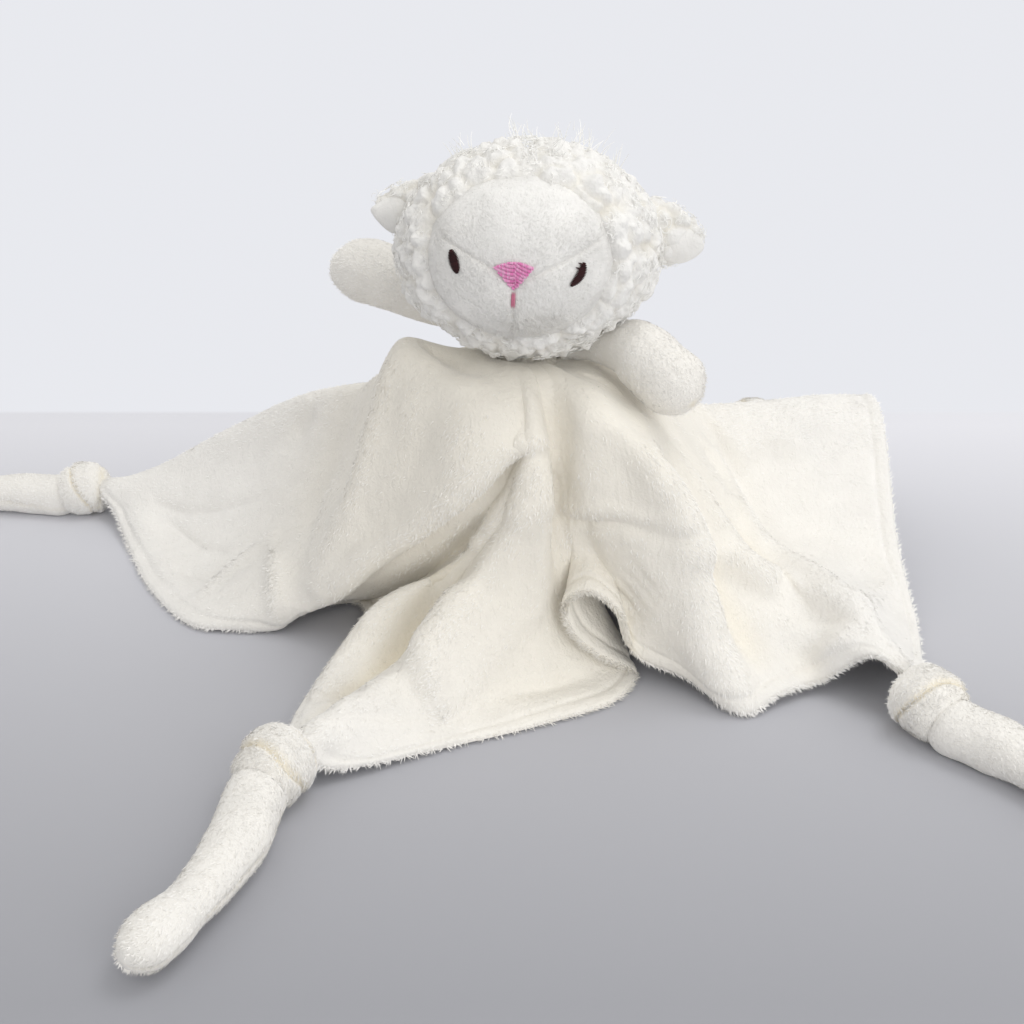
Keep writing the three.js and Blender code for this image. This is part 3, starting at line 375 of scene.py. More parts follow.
# The cloth: lines from the neck to the hem, in shares of its spread and of clothTop. They go round
# the neck from the front left corner, anticlockwise seen from above. They are the CAD model's
# lines, apart from those of the curled hem, which lie closer to the photograph.
blanket = {
    "spread": 100,
    "rowSteps": 10,  # columns between two lines
    "segmentSteps": (10, 14, 22, 24, 28, 34),
    "halfThickness": 1.55,
    "hemRound": 2.4,
    "seamInset": 6.0,
    "seamDepth": 0.7,
    "stitchLumps": ((0.25, 4, 5),),
    "restHeight": 1.05,  # of the middle of the cloth where it lies on the table
    "wrinkles": ((0.9, 34, 2), (0.35, 13, 3)),
    "hemFade": 9,  # folds lose height over this distance, down to hemRelief at the hem
    "hemRelief": 0.2,
    "pleatHeight": 1.5,
    "pleatReach": 15.6,
    "pleatStart": 8,
    "pleatTurns": 4.4,
}
drapeShares = [
    [[-0.04, -0.11, 1.03], [-0.01, -0.26, 1.03], [0.02, -0.4, 0.96], [0, -0.5, 0.68],
     [-0.14, -0.54, 0.45], [-0.36, -0.72, 0.25], [-0.73, -1.13, 0.14]],
    [[-0.03, -0.12, 1.03], [0, -0.26, 1.03], [0.04, -0.39, 0.94], [0.06, -0.46, 0.66],
     [-0.02, -0.53, 0.38], [-0.24, -0.8, 0.13], [-0.64, -1.13, 0.06]],
    [[-0.02, -0.12, 1.03], [0.02, -0.26, 1.03], [0.05, -0.38, 0.91], [0.08, -0.44, 0.62],
     [0.05, -0.5, 0.34], [-0.07, -0.68, 0.09], [-0.24, -0.95, 0.01]],
    [[-0.01, -0.12, 1.03], [0.03, -0.26, 1.02], [0.06, -0.37, 0.89], [0.093, -0.425, 0.6],
     [0.1, -0.44, 0.28], [0.09, -0.62, 0.06], [0.05, -0.83, 0.01]],
    [[0, -0.12, 1.03], [0.04, -0.26, 1.02], [0.07, -0.365, 0.88], [0.107, -0.42, 0.59],
     [0.17, -0.4, 0.25], [0.25, -0.53, 0.05], [0.32, -0.68, 0.01]],
    [[0.01, -0.12, 1.03], [0.05, -0.26, 1.02], [0.08, -0.362, 0.87], [0.12, -0.415, 0.585],
     [0.25, -0.36, 0.22], [0.345, -0.42, 0.06], [0.396, -0.52, 0.012]],
    [[0.015, -0.12, 1.03], [0.055, -0.26, 1.02], [0.088, -0.36, 0.87], [0.133, -0.415, 0.59],
     [0.24, -0.385, 0.3], [0.29, -0.45, 0.14], [0.281, -0.54, 0.09]],
    [[0.02, -0.12, 1.03], [0.06, -0.26, 1.02], [0.096, -0.36, 0.87], [0.146, -0.42, 0.6],
     [0.19, -0.4, 0.38], [0.2, -0.47, 0.25], [0.165, -0.55, 0.2]],
    [[0.025, -0.12, 1.03], [0.07, -0.26, 1.02], [0.104, -0.362, 0.87], [0.16, -0.425, 0.61],
     [0.18, -0.41, 0.44], [0.165, -0.46, 0.35], [0.14, -0.525, 0.3]],
    [[0.03, -0.12, 1.03], [0.08, -0.26, 1.02], [0.114, -0.366, 0.88], [0.175, -0.435, 0.62],
     [0.215, -0.415, 0.46], [0.22, -0.47, 0.4], [0.215, -0.54, 0.36]],
    [[0.033, -0.12, 1.03], [0.085, -0.26, 1.02], [0.126, -0.373, 0.89], [0.192, -0.45, 0.64],
     [0.26, -0.42, 0.45], [0.29, -0.48, 0.37], [0.32, -0.575, 0.3]],
    [[0.037, -0.12, 1.03], [0.092, -0.26, 1.02], [0.15, -0.39, 0.91], [0.215, -0.48, 0.68],
     [0.3, -0.47, 0.45], [0.355, -0.5, 0.27], [0.385, -0.555, 0.12]],
    [[0.045, -0.115, 1.03], [0.11, -0.25, 1.03], [0.2, -0.42, 0.95], [0.32, -0.52, 0.72],
     [0.42, -0.57, 0.48], [0.5, -0.6, 0.24], [0.57, -0.62, 0.06]],
    [[0.06, -0.11, 1.03], [0.14, -0.23, 1.03], [0.3, -0.43, 0.94], [0.46, -0.51, 0.76],
     [0.58, -0.55, 0.52], [0.65, -0.65, 0.24], [0.74, -0.77, 0.01]],
    [[0.07, -0.1, 1.02], [0.17, -0.21, 1.01], [0.36, -0.33, 0.9], [0.52, -0.36, 0.66],
     [0.65, -0.43, 0.4], [0.77, -0.55, 0.16], [0.88, -0.69, 0.04]],
    [[0.085, -0.09, 1.01], [0.19, -0.18, 1], [0.4, -0.24, 0.88], [0.6, -0.24, 0.66],
     [0.76, -0.32, 0.44], [0.92, -0.47, 0.24], [1.04, -0.62, 0.05]],
    [[0.09, -0.08, 1], [0.21, -0.16, 1], [0.42, -0.16, 0.88], [0.64, -0.1, 0.6],
     [0.84, -0.2, 0.33], [1.02, -0.42, 0.24], [1.18, -0.69, 0.19]],
    [[0.1, -0.06, 1], [0.23, -0.12, 0.99], [0.44, -0.08, 0.88], [0.68, 0.02, 0.58],
     [0.92, -0.1, 0.34], [1.12, -0.42, 0.3], [1.29, -0.79, 0.16]],
    [[0.11, -0.04, 1], [0.24, -0.09, 0.99], [0.45, 0, 0.88], [0.71, 0.14, 0.54],
     [0.98, 0.04, 0.25], [1.22, -0.3, 0.2], [1.35, -0.72, 0.08]],
    [[0.115, -0.02, 1], [0.25, -0.05, 0.99], [0.46, 0.08, 0.87], [0.74, 0.24, 0.5],
     [1.04, 0.2, 0.2], [1.3, 0, 0.12], [1.5, -0.22, 0.02]],
    [[0.12, 0, 1], [0.26, -0.01, 0.99], [0.46, 0.16, 0.88], [0.75, 0.35, 0.52],
     [1.04, 0.36, 0.26], [1.3, 0.26, 0.17], [1.53, 0.2, 0.16]],
    [[0.12, 0.03, 1.01], [0.26, 0.04, 0.99], [0.44, 0.22, 0.9], [0.7, 0.48, 0.66],
     [0.96, 0.64, 0.61], [1.25, 0.72, 0.61], [1.53, 0.76, 0.6]],
    [[0.115, 0.05, 1.02], [0.25, 0.09, 1], [0.4, 0.29, 0.88], [0.64, 0.6, 0.57],
     [0.92, 0.86, 0.42], [1.2, 1.02, 0.33], [1.47, 1.12, 0.28]],
    [[0.11, 0.07, 1.03], [0.23, 0.13, 1.01], [0.36, 0.33, 0.86], [0.58, 0.68, 0.5],
     [0.84, 1.08, 0.26], [1.1, 1.42, 0.14], [1.32, 1.66, 0.07]],
    [[0.1, 0.09, 1.03], [0.2, 0.17, 1.02], [0.32, 0.36, 0.87], [0.52, 0.74, 0.51],
     [0.74, 1.12, 0.32], [0.97, 1.44, 0.24], [1.21, 1.74, 0.14]],
    [[0.08, 0.1, 1.03], [0.17, 0.2, 1.02], [0.28, 0.39, 0.86], [0.46, 0.76, 0.46],
     [0.66, 1.12, 0.24], [0.87, 1.45, 0.12], [1.08, 1.7, 0.07]],
    [[0.06, 0.11, 1.03], [0.13, 0.23, 1.02], [0.22, 0.41, 0.85], [0.35, 0.76, 0.4],
     [0.46, 1.08, 0.16], [0.55, 1.36, 0.05], [0.64, 1.62, 0.01]],
    [[0.04, 0.12, 1.03], [0.08, 0.25, 1.02], [0.14, 0.43, 0.89], [0.21, 0.78, 0.55],
     [0.25, 1.08, 0.33], [0.27, 1.34, 0.13], [0.26, 1.56, 0.01]],
    [[0.01, 0.12, 1.03], [0.02, 0.26, 1.02], [0.02, 0.43, 0.86], [0, 0.74, 0.43],
     [-0.06, 1.02, 0.18], [-0.12, 1.27, 0.05], [-0.18, 1.49, 0.01]],
    [[-0.02, 0.12, 1.03], [-0.06, 0.26, 1.01], [-0.12, 0.43, 0.9], [-0.24, 0.73, 0.61],
     [-0.38, 1, 0.39], [-0.5, 1.26, 0.18], [-0.6, 1.5, 0.01]],
    [[-0.05, 0.11, 1.02], [-0.12, 0.23, 1], [-0.24, 0.38, 0.88], [-0.44, 0.64, 0.48],
     [-0.66, 0.9, 0.22], [-0.88, 1.14, 0.07], [-1.07, 1.36, 0.01]],
    [[-0.07, 0.1, 1.01], [-0.17, 0.2, 1], [-0.34, 0.33, 0.92], [-0.58, 0.55, 0.73],
     [-0.88, 0.8, 0.56], [-1.24, 0.99, 0.28], [-1.58, 1.16, 0.06]],
    [[-0.09, 0.08, 1.01], [-0.2, 0.16, 1], [-0.38, 0.27, 0.95], [-0.66, 0.47, 0.75],
     [-1, 0.68, 0.6], [-1.42, 0.84, 0.36], [-1.82, 0.98, 0.1]],
    [[-0.1, 0.06, 1.01], [-0.22, 0.12, 1.01], [-0.41, 0.2, 0.98], [-0.67, 0.36, 0.66],
     [-1.02, 0.55, 0.42], [-1.46, 0.72, 0.25], [-1.96, 0.89, 0.14]],
    [[-0.11, 0.04, 1.02], [-0.24, 0.08, 1.02], [-0.43, 0.15, 1.01], [-0.66, 0.28, 0.6],
     [-1.02, 0.42, 0.31], [-1.44, 0.58, 0.13], [-1.85, 0.75, 0.07]],
    [[-0.115, 0.03, 1.03], [-0.25, 0.06, 1.03], [-0.44, 0.12, 1.03], [-0.65, 0.2, 0.58],
     [-0.98, 0.3, 0.25], [-1.34, 0.4, 0.06], [-1.7, 0.46, 0.01]],
    [[-0.12, 0.01, 1.03], [-0.26, 0.04, 1.04], [-0.445, 0.09, 1.05], [-0.64, 0.11, 0.62],
     [-0.9, 0.15, 0.27], [-1.2, 0.15, 0.06], [-1.52, 0.12, 0.01]],
    [[-0.12, 0, 1.03], [-0.26, 0.02, 1.05], [-0.45, 0.05, 1.06], [-0.6, 0, 0.71],
     [-0.78, -0.02, 0.41], [-1.02, -0.08, 0.15], [-1.27, -0.18, 0.01]],
    [[-0.12, -0.02, 1.03], [-0.26, -0.02, 1.05], [-0.43, 0, 1.07], [-0.53, -0.13, 0.8],
     [-0.65, -0.19, 0.52], [-0.84, -0.2, 0.22], [-1.08, -0.21, 0.01]],
    [[-0.11, -0.04, 1.03], [-0.23, -0.1, 1.04], [-0.34, -0.2, 1.04], [-0.42, -0.33, 0.78],
     [-0.56, -0.3, 0.5], [-0.76, -0.26, 0.21], [-1, -0.21, 0.01]],
    [[-0.1, -0.07, 1.03], [-0.17, -0.19, 1.04], [-0.22, -0.33, 1.01], [-0.34, -0.42, 0.73],
     [-0.5, -0.37, 0.46], [-0.73, -0.28, 0.19], [-0.95, -0.2, 0.02]],
    [[-0.08, -0.09, 1.03], [-0.1, -0.25, 1.03], [-0.08, -0.41, 0.95], [-0.22, -0.47, 0.69],
     [-0.45, -0.38, 0.43], [-0.71, -0.26, 0.2], [-0.91, -0.16, 0.06]],
    [[-0.07, -0.1, 1.03], [-0.07, -0.26, 1.03], [-0.04, -0.41, 0.93], [-0.13, -0.4, 0.62],
     [-0.3, -0.26, 0.34], [-0.5, -0.1, 0.12], [-0.68, 0, 0.02]],
    [[-0.06, -0.105, 1.03], [-0.05, -0.26, 1.03], [-0.02, -0.405, 0.92], [-0.09, -0.41, 0.62],
     [-0.26, -0.33, 0.36], [-0.44, -0.28, 0.2], [-0.6, -0.22, 0.05]],
    [[-0.055, -0.107, 1.03], [-0.04, -0.26, 1.03], [-0.005, -0.405, 0.92], [-0.06, -0.45, 0.64],
     [-0.27, -0.42, 0.4], [-0.52, -0.49, 0.26], [-0.76, -0.8, 0.04]],
    [[-0.05, -0.11, 1.03], [-0.025, -0.26, 1.03], [0.008, -0.4, 0.93], [-0.03, -0.44, 0.64],
     [-0.2, -0.42, 0.34], [-0.46, -0.62, 0.12], [-0.77, -1.03, 0.07]],
]

# Creases and small ridges, each along points seen by the camera, in pixels of a 1024 pixel frame:
# how far they stand out (sunk where negative), how wide they are, and where they run.
foldLines = [
    (4.5, 6.0, [(408, 345), (395, 376), (381, 432), (367, 477), (355, 511), (341, 536), (318, 580)]),
    (-3.4, 9.0, [(436, 380), (424, 430), (405, 485), (385, 525)]),
    (-4.1, 8.0, [(372, 365), (351, 410), (334, 460), (314, 505), (300, 560)]),
    (3.6, 4.5, [(327, 590), (367, 560), (417, 529), (456, 496), (501, 453), (533, 442)]),
    (-4.0, 4.0, [(350, 592), (380, 571), (426, 541), (466, 508), (508, 466), (532, 450)]),
    (4.0, 7.0, [(534, 455), (527, 500), (512, 518), (484, 561), (451, 606), (428, 643), (418, 671)]),
    (-4.4, 7.0, [(480, 525), (440, 590), (402, 650), (384, 685)]),
    (3.0, 4.5, [(539, 470), (541, 510), (537, 560), (532, 610)]),
    (-3.6, 4.5, [(552, 470), (553, 510), (549, 560)]),
    (4.1, 7.0, [(639, 426), (653, 463), (675, 500), (690, 533), (694, 590), (700, 640), (738, 705)]),
    (-3.0, 12.0, [(606, 430), (622, 480), (640, 540)]),
    (-2.5, 8.0, [(718, 600), (734, 630), (752, 665)]),
    (3.3, 5.0, [(694, 557), (730, 557), (767, 576), (803, 594), (868, 604), (905, 572)]),
    (-3.3, 6.0, [(700, 572), (730, 578), (760, 594), (800, 613), (830, 620), (858, 623)]),
    (3.3, 5.0, [(817, 668), (843, 640), (868, 614)]),
    (-2.8, 6.0, [(785, 640), (800, 660), (812, 676)]),
    (-2.5, 3.0, [(543, 514), (612, 522), (681, 536)]),
    (2.1, 3.5, [(545, 507), (612, 515), (676, 529)]),
    (-2.7, 2.8, [(747, 458), (800, 450), (847, 435)]),
    (2.9, 3.2, [(745, 451), (800, 442), (843, 429)]),
    (2.8, 3.0, [(699, 413), (720, 434), (741, 456)]),
    (3.3, 3.5, [(699, 443), (728, 492), (757, 542)]),
    (-3.3, 5.0, [(715, 440), (745, 490), (778, 545)]),
    (-1.6, 1.8, [(616, 584), (640, 615)]),
    (-1.6, 1.8, [(621, 577), (648, 610)]),
    (-1.6, 1.8, [(627, 570), (655, 603)]),
    (-1.6, 1.8, [(634, 564), (661, 596)]),
    (-1.7, 2.4, [(158, 505), (187, 514), (222, 511), (268, 498)]),
    (-2.1, 2.2, [(171, 525), (204, 549), (228, 555)]),
    (-2.0, 2.2, [(174, 575), (200, 579), (222, 579)]),
    (2.8, 6.0, [(136, 500), (150, 545), (178, 590)]),
    (-4.5, 5.0, [(316, 408), (304, 425), (294, 442)]),
    (-1.7, 2.0, [(299, 707), (330, 700), (357, 693)]),
    (-1.6, 2.2, [(318, 712), (370, 716), (420, 717)]),
    (-2.5, 4.0, [(500, 697), (545, 690), (585, 679)]),
    (2.8, 3.0, [(500, 448), (520, 445), (534, 445)]),
    (-2.9, 4.5, [(418, 342), (439, 356), (471, 377)]),
    (3.3, 3.5, [(276, 538), (240, 568), (203, 597)]),
    (2.5, 3.5, [(274, 541), (276, 580), (276, 617)]),
    (-2.2, 6.0, [(287, 540), (290, 575), (291, 607)]),
    (2.5, 8.0, [(590, 380), (590, 430), (585, 490)]),
    (-2.5, 9.0, [(565, 380), (566, 440), (567, 500)]),
    (2.9, 9.0, [(480, 400), (470, 450), (455, 490)]),
    (3.0, 4.2, [(421, 651), (428, 680), (437, 712)]),
    (-2.6, 6.0, [(405, 655), (410, 685), (424, 708)]),
    (-2.6, 3.2, [(307, 699), (335, 695), (362, 691)]),
]
view = {
    "place": (-4.6, -417.7, 236.0), "pitchDegrees": 65, "lens": 42.19, "sensorWidth": 36.0,
    "pixels": 1024,
}
cameraPitch = math.radians(view["pitchDegrees"])


def drapeLines():
    spread = blanket["spread"]
    lines = np.array(drapeShares) * (spread, spread, clothTop)
    lines[..., 2] = np.maximum(lines[..., 2], blanket["restHeight"])
    places = []
    for segment, steps in enumerate(blanket["segmentSteps"]):
        places += [segment + k / steps for k in range(steps)]
    places.append(len(blanket["segmentSteps"]))
    lines = lineThrough(lines, places)
    around = []
    for k in range(blanket["rowSteps"]):
        four = [np.roll(lines, 1 - j, axis=0) for j in range(4)]
        around.append(splineBetween(*four, k / blanket["rowSteps"]))
    grid = np.stack(around, axis=1).reshape(-1, lines.shape[1], 3)
    grid[..., 2] = np.maximum(grid[..., 2], blanket["restHeight"])
    return grid


# How far each point of a line is from the hem, along the cloth
def hemDistances(grid):
    steps = np.linalg.norm(np.diff(grid, axis=1), axis=2)
    fromHem = np.cumsum(steps[:, ::-1], axis=1)[:, ::-1]
    return np.concatenate([fromHem, np.zeros((len(grid), 1))], axis=1)


# The direction from the camera in which a pixel is seen
def seenFrom(pixel):
    sight = view["sensorWidth"] / view["lens"] / view["pixels"]
    x = (pixel[0] - view["pixels"] / 2) * sight
    y = (view["pixels"] / 2 - pixel[1]) * sight
    return Vector((x, math.cos(cameraPitch) * y + math.sin(cameraPitch),
                   math.sin(cameraPitch) * y - math.cos(cameraPitch)))


# How far the fold lines raise or sink each point of the cloth
def foldHeights(grid):
    surface = BVHTree.FromPolygons(
        grid.reshape(-1, 3).tolist(),
        gridQuads(len(grid), grid.shape[1], closedRows=True).tolist(),
    )
    eye = Vector(view["place"])
    points = grid.reshape(-1, 3)
    heights = np.zeros(len(points))
    for height, width, pixels in foldLines:
        marks = []
        for start, end in zip(pixels, pixels[1:]):
            for t in np.linspace(0, 1, 12):
                pixel = [a + (b - a) * t for a, b in zip(start, end)]
                place = surface.ray_cast(eye, seenFrom(pixel).normalized())[0]
                if place is not None:
                    marks.append(place)
        nearest = np.full(len(points), 1e3)
        share = np.zeros(len(points))
        for k, mark in enumerate(marks):
            distance = np.linalg.norm(points - np.array(mark), axis=1)
            closer = distance < nearest
            nearest[closer] = distance[closer]
            share[closer] = k / max(len(marks) - 1, 1)
        fade = np.sin(np.pi * np.clip(share * 0.9 + 0.05, 0, 1)) ** 0.5
        heights += height * fade * bell(nearest, width)
    return heights.reshape(grid.shape[:2])


# Smooth a grid that is closed round the neck, to find what lies in a fold and what stands out
def smoothed(grid, rounds):
    for _ in range(rounds):
        padded = np.concatenate([grid[:, :1], grid, grid[:, -1:]], axis=1)
        inLine = padded[:, :-2] + padded[:, 2:]
        acrossLines = np.roll(grid, 1, axis=0) + np.roll(grid, -1, axis=0)
        grid = (grid + inLine + acrossLines) / 5
    return grid


def clothNormals(grid):
    normals = gridNormals(grid, closedRows=True)
    return normals if np.mean(normals[:, :20, 2]) > 0 else -normals


knotSpots = {
    "front_left": {"share": (-0.77, -1.19), "degrees": 252, "bend": 1},
    "front_right": {"share": (1.33, -0.85), "degrees": 301, "bend": 1},
    "back_right": {"share": (1.22, 1.79), "degrees": 177, "bend": -1},
    "back_left": {"share": (-2.02, 0.9), "degrees": 186, "bend": -1},
}
knotHeight = 11.0


def knotCenter(corner):
    x, y = knotSpots[corner]["share"]
    return np.array([x * blanket["spread"], y * blanket["spread"], knotHeight])


middle = drapeLines()
middleNormals = clothNormals(middle)
inFold = np.sum((smoothed(middle, 60) - middle) * middleNormals, axis=2)
relief = foldHeights(middle)
relief += lumps(middle, blanket["wrinkles"])
columnShare = np.arange(len(middle))[:, None] / blanket["rowSteps"]
for corner in knotSpots:
    away = np.linalg.norm(middle - knotCenter(corner), axis=2)
    gathered = bell(away - blanket["pleatStart"], blanket["pleatReach"])
    relief += blanket["pleatHeight"] * np.sin(columnShare * blanket["pleatTurns"]) * gathered
fromHem = hemDistances(middle)
hemRelief = blanket["hemRelief"]
relief *= smoothStep(0, blanket["hemFade"], fromHem) * (1 - hemRelief) + hemRelief
middle = middle + middleNormals * relief[..., None]
middleNormals = unit(smoothed(clothNormals(middle), 2))
print("cloth lines drawn")


# One layer of the cloth, on the upper side (1) or the lower side (-1) of the middle
def clothLayer(side):
    inwards = np.clip(fromHem / blanket["hemRound"], 0, 1)
    thick = blanket["halfThickness"] * np.sqrt(1 - (1 - inwards) ** 2)
    fromSeam = fromHem - blanket["seamInset"]
    seam = blanket["seamDepth"] * bell(fromSeam, 1.1)
    stitch = lumps(middle, blanket["stitchLumps"]) * bell(fromSeam, 4)
    layer = middle + middleNormals * (side * (thick - seam + stitch))[..., None]
    layer[..., 2] = np.maximum(layer[..., 2], 0.3)
    return layer


# Painted shade: the creamier tint of shaded folds and round the neck, and over which stretch, in
# millimetres, it fades out
paintedFoldShade = {
    "least": 0.04, "atNeck": 0.33, "neckFade": (35, 140), "inFolds": 0.6, "foldFade": (95, 165),
    "backFade": (-30, 40), "shallow": 0.8, "deep": 8,
}


# Painted shade over the cloth: a cream tint near the neck, and more of it deep in the folds at the
# front
def paintedShadeMask(side):
    fromNeck = np.hypot(middle[..., 0], middle[..., 1])
    nearNeck = 1 - smoothStep(*paintedFoldShade["neckFade"], fromNeck)
    shade = paintedFoldShade["least"] + paintedFoldShade["atNeck"] * nearNeck
    inFront = 1 - smoothStep(*paintedFoldShade["backFade"], middle[..., 1])
    depth = (side * inFold - paintedFoldShade["shallow"]) / paintedFoldShade["deep"]
    folds = np.clip(depth, 0, paintedFoldShade["inFolds"])
    return shade + folds * (1 - smoothStep(*paintedFoldShade["foldFade"], fromNeck)) * inFront


def blanketLayer(name, side, node):
    layer = clothLayer(side)
    quads = gridQuads(*layer.shape[:2], closedRows=True)
    points = layer.reshape(-1, 3)
    quads = facing(points, quads, middleNormals.reshape(-1, 3)[quads[:, 0]] * side)
    piece = makePiece(name, points, quads, velour, {"toneAndShade": paintedShadeMask(side)})
    fitPiece(piece, "blanket", "velour", node)


blanketLayer("blanketTop", 1, "blanket_top_panel")
blanketLayer("blanketUnder", -1, "blanket_under_panel")

# Pile that shows as bristles: along the hem, and where a fold is sharp
bristles = {
    "hemPerStep": 8,
    "hemLength": (1.3, 2.6),
    "foldCount": 30000,
    "foldLength": (1.0, 2.0),
    "width": (0.3, 0.55),
    "rollWidth": (0.28, 0.5),  # on the arms, knots and tails
    "swirlSize": 7,
    "sharpWeight": 5,  # how many more hairs stand on a sharp fold
    "lay": 1.0,  # how flat the pile lies, towards the hem
}


def between(limits, count):
    return chance.uniform(*limits, count)


# Hairs over one side of the cloth, more of them on sharp folds, and a fringe of them on the hem
def clothPile(name, side, count):
    layer = clothLayer(side)
    rows, columns = layer.shape[:2]
    sharp = np.clip(-side * np.sum((smoothed(middle, 12) - middle) * middleNormals, axis=2), 0, 1)
    steps = np.linalg.norm(np.roll(layer, -1, axis=0) - layer, axis=2)
    lengthwise = np.linalg.norm(np.diff(layer, axis=1), axis=2)
    lengthwise = np.concatenate([lengthwise, np.zeros((rows, 1))], axis=1)
    weight = steps * lengthwise * (0.25 + bristles["sharpWeight"] * sharp)
    nearNeck = 30
    weight[:, :nearNeck] *= 0.2
    chosen = chance.choice(rows * columns, count, p=(weight / weight.sum()).ravel())
    r, c = np.divmod(chosen, columns)
    c = np.minimum(c, columns - 2)
    nextRow = (r + 1) % rows
    s, t = chance.random((2, count, 1))
    low = layer[r, c] * (1 - s) + layer[nextRow, c] * s
    high = layer[r, c + 1] * (1 - s) + layer[nextRow, c + 1] * s
    roots = low * (1 - t) + high * t
    outward = middleNormals[r, c] * side
    downhill = unit(high - low)
    swirl = softNoise(roots, bristles["swirlSize"], 8)[:, None] * np.cross(outward, downhill)
    brushed = bristles["lay"] * (downhill + 0.8 * swirl)
    lay = unit(outward * 0.28 + brushed + 0.25 * chance.normal(size=roots.shape))
    lengths = between(bristles["foldLength"], count)
    widths = between(bristles["width"], count)
    # the hairs carry the cloth's painted shade where they stand, on the hem too
    toneAndShade = paintedShadeMask(side)[r, c]
    # hairs of the hem, fanned over its round edge
    hemRows = np.repeat(np.arange(rows), bristles["hemPerStep"])
    s = chance.random((len(hemRows), 1))
    edge = middle[hemRows, -1] * (1 - s) + middle[(hemRows + 1) % rows, -1] * s
    inner = middle[hemRows, -3]
    out = unit(edge - inner)
    rise = chance.uniform(0.0, 1.0, (len(hemRows), 1))
    hemOut = middleNormals[hemRows, -1] * side
    edge = edge + hemOut * rise * 1.2 - out * (rise ** 2)
    hemLay = unit(out + hemOut * rise * 0.45 + 0.25 * chance.normal(size=edge.shape))
    roots = np.concatenate([roots, edge])
    lay = np.concatenate([lay, hemLay])
    lengths = np.concatenate([lengths, between(bristles["hemLength"], len(edge))])
    widths = np.concatenate([widths, between(bristles["width"], len(edge))])
    toneAndShade = np.concatenate([toneAndShade, paintedShadeMask(side)[hemRows, -1]])
    lean = np.concatenate([outward, hemOut])
    tipHeights = roots[:, 2] + lay[:, 2] * lengths
    keep = (tipHeights > 0.2) & (roots[:, 2] > 0.35)
    piece = hairPiece(name, roots[keep], lay[keep], lengths[keep], widths[keep], lean[keep],
                      pileHair, {"toneAndShade": toneAndShade[keep]})
    fitPiece(piece, "blanket", "velour")


clothPile("blanketTopPile", 1, bristles["foldCount"])
clothPile("blanketUnderPile", -1, bristles["foldCount"] // 3)
print("cloth made")


# Head: a fleece hood in two halves, and a smooth face of three panels
head = {
    "hoodCenter": (1, -4, 143),
    "hoodRadii": (44.0, 37.0, 35.0),
    "faceCenter": (-2, -16, 145),
    "faceRadii": (36.6, 31.6, 30.6),
    "faceMiddle": (-1.8, 145.5),
    "faceHalf": (31.2, 26.5),
    "clumpSpacing": 7.4,
    "clumpHeight": 3.6,
    "inset": 0.8,
    "fineLumps": ((0.7, 2.6, 4), (0.3, 1.2, 5)),
    "partingDepth": 3.5,
    "partingWidth": 2.2,
    "faceHollow": 5.0,  # how far the hood lies back under the face
    "faceRim": 1.2,
    "chinTuck": 1.8,
    "sideSeam": ((0.55, 0.8), (0.5, 3.2)),  # depth and width of the groove, and of the dip round it
    "chinSeam": ((0.7, 0.8), (0.5, 2.6)),
    "hoodSteps": (150, 380),
    "fillingSteps": (60, 120),
    "panelSteps": (90, 70),
    "outlineSteps": 40,
    "panelReach": 1.03,  # how far the face goes under the hood, as a share of its outline
    "fibresPerClump": 14,
    "fibreLength": (3.5, 7.0),
    "fibreWidth": (0.35, 0.6),
    "tuftCount": 13,
    "fibresPerTuft": 9,
    "tuftLength": (3.5, 7.5),
    "tuftWidth": 0.45,
    "tuftsFrom": 0.72,  # as a share of the hood's height over its middle
    "facePuff": ((0.4, 15, 6),),
    "fillingInset": 7,
    "fillingLumps": ((0.8, 9, 18),),
    "fillingFill": 0.95,
}
hoodCenter = np.array(head["hoodCenter"], float)
hoodRadii = np.array(head["hoodRadii"])
faceCenter = np.array(head["faceCenter"], float)
faceRadii = np.array(head["faceRadii"])


# Where a place is on the face, across and up, in shares of the outline's half width and height
def onFace(x, z):
    return ((x - head["faceMiddle"][0]) / head["faceHalf"][0],
            (z - head["faceMiddle"][1]) / head["faceHalf"][1])


# How far inside the face's outline a point is: 0 in the middle, 1 on the outline
def faceShare(points):
    share = np.hypot(*onFace(points[..., 0], points[..., 2]))
    behind = 9
    return np.where(points[..., 1] < hoodCenter[1], share, behind)


# Clumps sit evenly over the whole ball, a little out of place
def clumpDirections(count):
    k = np.arange(count) + 0.5
    turn = k * math.pi * (3 - math.sqrt(5))
    height = 1 - 2 * k / count
    around = np.sqrt(1 - height ** 2)
    return unit(np.stack([around * np.cos(turn), around * np.sin(turn), height], axis=1)
                + chance.normal(scale=0.07, size=(count, 3)))


def nearClumps(points, clumps):
    tree = KDTree(len(clumps))
    for k, clump in enumerate(clumps):
        tree.insert(clump, k)
    tree.balance()
    found = [tree.find_n(p, 2) for p in points]
    first = np.array([f[0][2] for f in found])
    second = np.array([f[1][2] for f in found])
    return first, second


# Fleece between 0 and about 1: clumps with rounded crowns, valleys between them, lumps over all
curly = {
    "warpHeight": 1.7, "warpSize": 7, "valleyShare": 0.6, "valley": 0.3, "crown": 0.6,
    "lumps": ((0.32, 4.2, 34), (0.12, 1.5, 35)),
}


def clumpRelief(grid, clumps, spacing):
    points = grid.reshape(-1, 3)
    warp = np.stack([softNoise(points, curly["warpSize"], seed) for seed in (31, 32, 33)], axis=-1)
    first, second = nearClumps(points + curly["warpHeight"] * warp, clumps)
    gap = smoothStep(0, spacing * curly["valleyShare"], second - first)
    crown = np.clip(1 - (first / spacing) ** 2, 0, 1)
    relief = gap * curly["valley"] + crown * curly["crown"] + lumps(points, curly["lumps"])
    return relief.reshape(grid.shape[:2])


